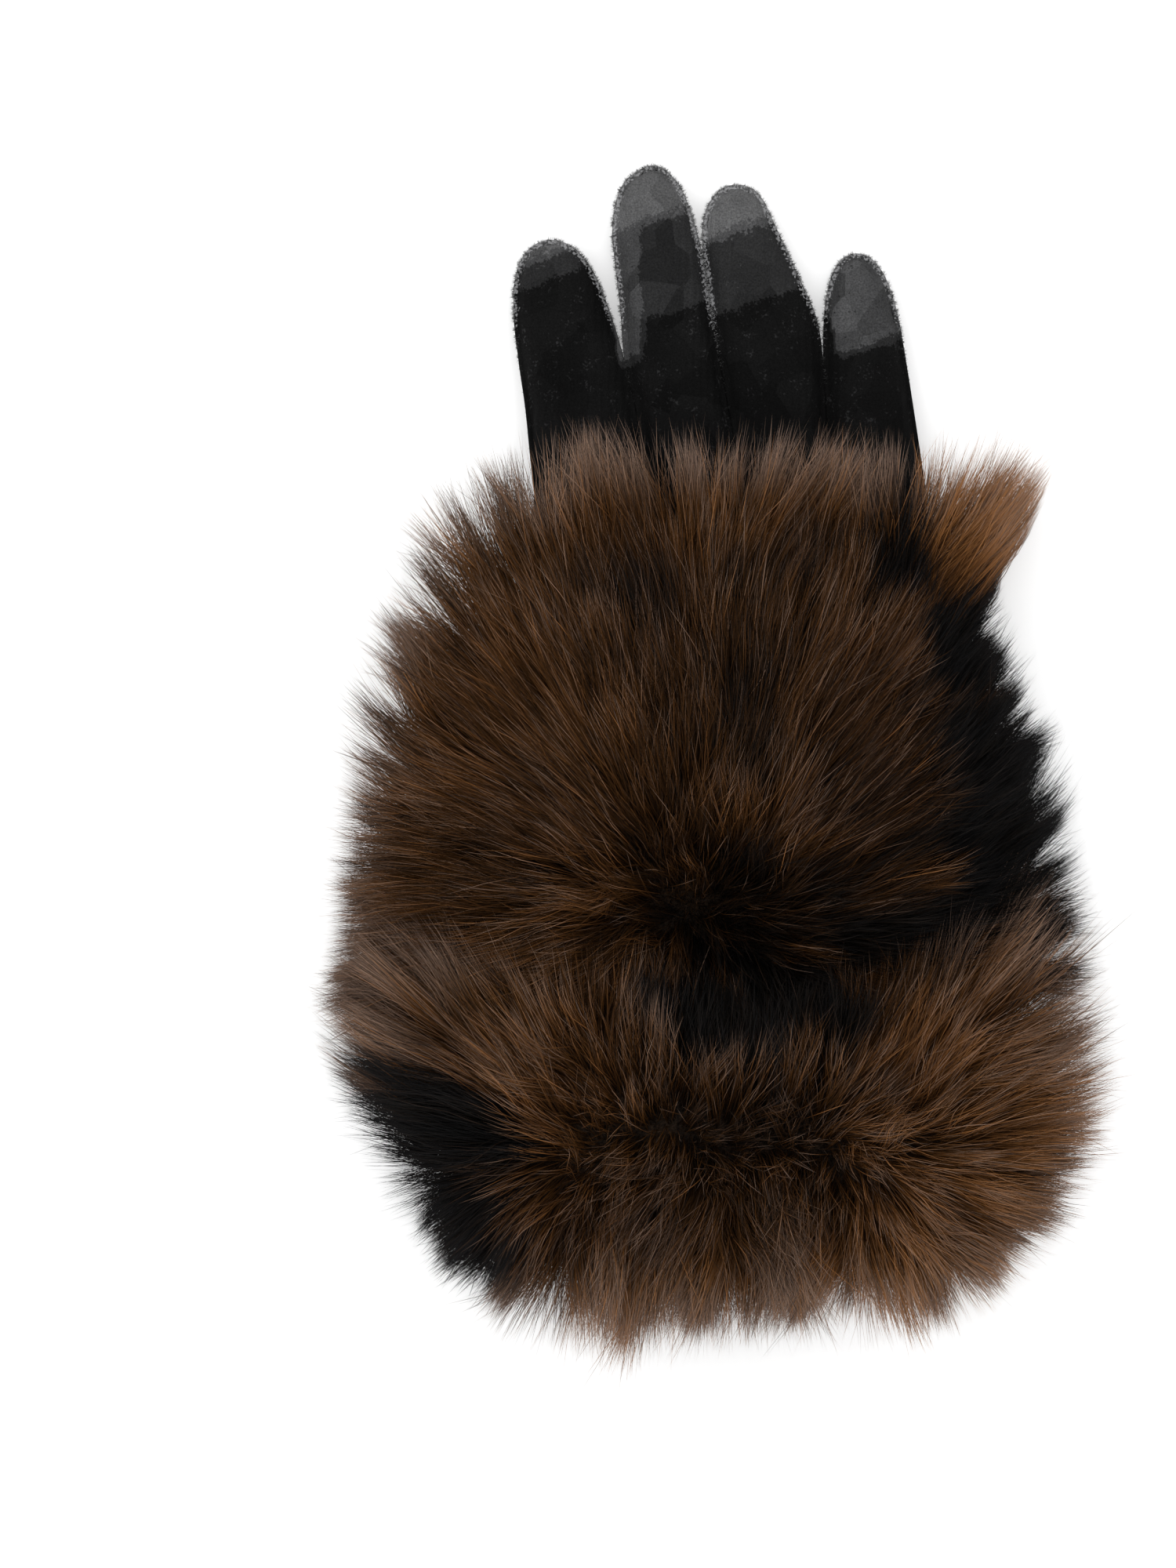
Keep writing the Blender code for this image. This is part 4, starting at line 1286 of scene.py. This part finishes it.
backMass = {
    "patches": backPatchesOf(),
    "border": backBorder(),
    "source": backSource,
    "waver": 0.0,
    "swirl": (0.22, 0.16),
    "rising": 0.60,
    "thick": ((0.052, 0.126, 0.011, 4.0), (-0.070, 0.036, 0.013, 1.6)),  # X, Y, radius and how much more
    "middle": np.array([-0.008, 0.080, 0.0]),
    "centre": backMiddle,
    "calm": 0.017,  # how far from its source the hair stands up
    "reach": backReach,
    "width": fur["backWidth"],
    "length": fur["backLength"],
    "seed": 31,
    "tone": backTone,
    "tonePatches": backPatches,
    "paleEnds": (0.62, 0.62),  # how far up their shade the strands go, above and below
    "locks": 380,
    "tufts": 2000,
}
cuffMass = {
    "patches": cuffPatchesOf(),
    "border": cuffBorder(),
    "source": cuffSource,
    "waver": 0.007,
    "swirl": (0.20, 0.34),
    "rising": 0.30,
    "thick": ((0.010, -0.031, 0.026, 1.0), (-0.064, 0.012, 0.013, 1.6)),
    "middle": np.array([0.0, 0.0, 0.016]),
    "centre": cuffMiddle,
    "calm": 0.010,
    "reach": cuffReach,
    "width": fur["cuffWidth"],
    "length": fur["cuffLength"],
    "seed": 41,
    "tone": cuffTone,
    "tonePatches": cuffPatches,
    "paleEnds": (0.64, 0.80),
    "locks": 330,
    "tufts": 1500,
}


# Paths drawn to the paths of their guides: each keeps its root and its length, and closes in on the guide
# towards the tip by the guide's hold.
def drawTogether(paths, lengths, guides, guideLengths, hold):
    steps = paths.shape[1] - 1
    chosen = nearestGuide(paths[:, 0], guides[:, 0])
    guide = guides[chosen]
    share = (np.arange(steps + 1) / steps)[None, :, None]
    scale = np.clip(lengths / guideLengths[chosen], 0.4, 1.08)[:, None, None]
    offset = (paths[:, 0] - guide[:, 0])[:, None]
    held = guide[:, :1] + (guide - guide[:, :1]) * scale + offset * (1.0 - share**1.3)
    pull = hold[:, None, None] * np.minimum(share * 1.6, 1.0)
    return paths * (1.0 - pull) + held * pull, chosen


tuft = {
    "scatter": (0.24, 0.28),  # how much the ways of locks and of tufts differ, in radians
    "lengths": (0.80, 0.34),  # shortest share of the combed length, and what chance adds
    "toneSpread": 0.05,
    "hold": (0.48, 0.16, 0.26),  # how far a tuft follows its lock, its spread, and what the rim adds
}


# The guides of a mass: locks, and tufts that lie in the locks. Each has its own way, length and shade.
def guidesOf(mass, steps):
    dice = np.random.default_rng(mass["seed"] + 5)
    groups = []
    least, more = tuft["lengths"]
    for count, scatter in zip((mass["locks"], mass["tufts"]), tuft["scatter"]):
        roots, outward = spreadRoots(mass, count, dice)
        roots = roots - outward * fur["ground"]
        first, second, length, atRim = combHair(mass, roots, outward, dice, scatter)
        length = length * (least + more * dice.random(count) ** 1.4)
        paths = growPaths(roots, first, second, length, steps)
        groups.append((paths, length, atRim, dice.normal(0.0, tuft["toneSpread"], count)))
    (lockPaths, lockLengths, _, lockTone), (paths, lengths, atRim, tone) = groups
    follow, spread, more = tuft["hold"]
    hold = np.clip(dice.normal(follow, spread, mass["tufts"]) + more * atRim, 0.0, 0.93)
    paths, chosen = drawTogether(paths, lengths, lockPaths, lockLengths, hold)
    return paths, lengths, tone + lockTone[chosen]


# Paths shortened where they pass the outline too far, bent over under the ceiling, and kept up by the cloth
# or the table below them.
def keepClear(paths, mass, dice):
    count = len(paths)
    over = beyondOutline(paths[:, -1, :2], mass)
    run = np.maximum(np.linalg.norm(paths[:, -1, :2] - paths[:, 0, :2], axis=1), 0.010)
    shrink = 1.0 - np.clip((over - fur["pastOutline"]) / run, 0.0, 0.7)
    paths = paths[:, :1] + (paths - paths[:, :1]) * shrink[:, None, None]
    floor = np.maximum(clothAt(paths[:, 1:, :2]) + 0.0005, fur["tableGap"])
    floor = floor + dice.uniform(0.0, 0.0010, (count, 1))
    paths[:, 1:, 2] = np.maximum(paths[:, 1:, 2], floor)
    paths[:, 0, 2] = np.maximum(paths[:, 0, 2], fur["tableGap"])
    paths[:, :, 2] -= 0.65 * np.maximum(paths[:, :, 2] - fur["ceiling"], 0.0)
    return paths


strand = {
    "rootDepth": (0.8, 1.3),  # as shares of the ground's depth
    "scatter": 0.16,
    "shortest": (0.72, 0.10),  # share of the combed length, and what the rim adds
    "longest": 1.10,
    "follow": (0.62, 0.24, 0.20),  # how far it follows its tuft, the spread of that, and what the rim adds
    "bend": 0.05,
    "stray": (0.07, 0.17),  # here and below: share of the strands, and how much
    "turned": 0.45,  # how far its flat side is turned
    "widths": (0.7, 1.25),
    "taper": ((0.0, 0.3, 0.7, 1.0), (0.75, 1.0, 0.75, 0.3)),  # width along it
    "toneSpread": 0.10,
    "darker": (0.16, 0.26),
    "lighter": (0.08, 0.20),
    "rimPale": 0.44,  # how much farther up their shade strands at the rim go
    "endSpread": 0.12,
    "paleEnd": (0.14, 0.26),
    "endWaves": ((0.13, 0.024, 3), (0.08, 0.009, 4)),  # strength, size, and what is added to the seed
}


# Tone of each strand, the patch's and a chance part that is less on black hair, and how far up its shade it
# goes.
def shadeStrands(mass, paths, roots, guideTone, atRim, dice, paler):
    count = len(paths)
    tone = toneAt(paths[:, 0, :2] * 0.45 + paths[:, -1, :2] * 0.55, mass["tone"], mass["tonePatches"])
    spread = 0.35 + 0.65 * smoothStep(0.05, 0.35, tone)
    tone = tone + (guideTone + dice.normal(0.0, strand["toneSpread"], count)) * spread
    tone -= (dice.random(count) < strand["darker"][0]) * strand["darker"][1] * spread
    tone += ((dice.random(count) < strand["lighter"][0]) * strand["lighter"][1] + paler) * spread
    upper, lower = mass["paleEnds"]
    ending = lower + (upper - lower) * smoothStep(0.0, 0.024, roots[:, 1])
    ending += strand["rimPale"] * atRim - strand["endSpread"] * dice.random(count)
    ending += (dice.random(count) < strand["paleEnd"][0]) * strand["paleEnd"][1] + 2.5 * paler
    for strength, size, step in strand["endWaves"]:
        ending += strength * softWaves(roots[:, :2], size, mass["seed"] + step)
    return tone, np.clip(ending, 0.5, 1.0)


# Strands of one layer. Each follows its own path, drawn to its tuft's, less where the layer is looser, and
# its tone may be paler than the patch's.
def layHair(name, mass, count, steps, seed, lengthShare, widthShare, material, paler=0.0, looser=0.0):
    dice = np.random.default_rng(seed)
    guides, guideLengths, guideTone = guidesOf(mass, steps)
    roots, outward = spreadRoots(mass, count, dice)
    roots = roots - outward * fur["ground"] * dice.uniform(*strand["rootDepth"], (count, 1))
    first, second, length, atRim = combHair(mass, roots, outward, dice, strand["scatter"])
    shorter = strand["shortest"][0] + strand["shortest"][1] * atRim
    length = length * lengthShare * (shorter + (strand["longest"] - shorter) * dice.random(count) ** 1.6)
    own = growPaths(roots, first, second, length, steps)
    mean, spread, more = strand["follow"]
    follow = np.clip(dice.normal(mean - looser, spread, count) + more * atRim, 0.0, 0.98)
    paths, chosen = drawTogether(own, length, guides, guideLengths, follow)
    share = (np.arange(steps + 1) / steps)[None, :, None]
    side = unit(np.cross(second, outward))[:, None]
    strays, much = strand["stray"]
    stray = (dice.random((count, 1, 1)) < strays) * dice.normal(0.0, much, (count, 1, 1))
    bend = dice.normal(0.0, strand["bend"], (count, 1, 1)) + stray
    paths = keepClear(paths + side * bend * length[:, None, None] * share**2, mass, dice)
    tone, ending = shadeStrands(mass, paths, roots, guideTone[chosen], atRim, dice, paler)
    facing = unit(outward + dice.normal(0.0, strand["turned"], (count, 3)))
    width = fur["strandWidth"] * widthShare * dice.uniform(*strand["widths"], count)
    taper = np.interp(np.arange(steps) / steps, *strand["taper"])
    piece = makeStrands(name, paths, facing, width, taper, tone, ending, material)
    print(name, count, "strands")


longPile = pileMaterial("longPile")
underPile = pileMaterial("underPile")
layHair("fur_back_underfur", backMass, 28000, 2, 101, 0.70, 1.25, underPile)
layHair("fur_back_hair_1", backMass, 24500, 4, 102, 1.0, 1.0, longPile)
layHair("fur_back_hair_2", backMass, 24500, 4, 103, 1.0, 0.85, longPile)
layHair("fur_cuff_underfur", cuffMass, 22000, 2, 201, 0.70, 1.25, underPile)
layHair("fur_cuff_hair_1", cuffMass, 19000, 4, 202, 1.0, 1.0, longPile)
layHair("fur_cuff_hair_2", cuffMass, 18000, 4, 203, 1.0, 0.85, longPile)
layHair("fur_back_guard_hair", backMass, 5000, 4, 104, 1.04, 0.75, longPile, 0.15, 0.35)
layHair("fur_cuff_guard_hair", cuffMass, 4000, 4, 204, 1.04, 0.75, longPile, 0.15, 0.35)

# Stage, camera and light

stage = {
    "floorHalf": 3.0,
    "floorAt": -0.0002,
    "floorWhite": 0.80,
    "floorGlow": 0.35,
    "cameraAt": (-0.0348, 0.0800, 1.500),
    "lens": 140.0,
    "skyStrength": 0.98,
    "keyPower": 15.0,
    "keyAt": (-0.35, 0.60, 1.8),
    "keySize": 2.2,
}


# A pale floor under the glove.
def makeFloor():
    half = stage["floorHalf"]
    material, tree, shader = newMaterial("paleFloor", 0.9, 0.1)
    cloud = addNode(tree, "ShaderNodeTexNoise", {"Vector": addPlace(tree), "Scale": 4.0}).outputs[0]
    white = stage["floorWhite"]
    tree.links.new(addRamp(tree, cloud, ((0.0, white - 0.01), (1.0, white))), shader.inputs["Base Color"])
    shader.inputs["Emission Color"].default_value = (1.0, 1.0, 1.0, 1.0)
    shader.inputs["Emission Strength"].default_value = stage["floorGlow"]
    ways = ((-1, -1), (1, -1), (1, 1), (-1, 1))
    corners = np.array([(x * half, y * half, stage["floorAt"]) for x, y in ways])
    floor = makePiece("floor", corners, np.array([[0, 1, 2, 3]]), np.zeros((0, 3), int), material)


# An area light at a place, turned to the glove.
def addLight(name, place, power, size):
    data = bpy.data.lights.new(name, "AREA")
    data.energy = power
    data.size = size
    lamp = bpy.data.objects.new(name, data)
    lamp.location = place
    lamp.rotation_euler = (Vector((0.0, 0.08, 0.0)) - Vector(place)).to_track_quat("-Z", "Y").to_euler()
    bpy.context.scene.collection.objects.link(lamp)


makeFloor()
addLight("keyLight", stage["keyAt"], stage["keyPower"], stage["keySize"])
world = bpy.data.worlds.new("softSky")
world.use_nodes = True
world.node_tree.nodes["Background"].inputs["Color"].default_value = (1.0, 1.0, 1.0, 1.0)
world.node_tree.nodes["Background"].inputs["Strength"].default_value = stage["skyStrength"]
bpy.context.scene.world = world
bpy.context.scene.view_settings.view_transform = "Standard"

cameraData = bpy.data.cameras.new("camera")
cameraData.lens = stage["lens"]
camera = bpy.data.objects.new("camera", cameraData)
camera.location = stage["cameraAt"]
bpy.context.scene.collection.objects.link(camera)
bpy.context.scene.camera = camera
print("stage set")
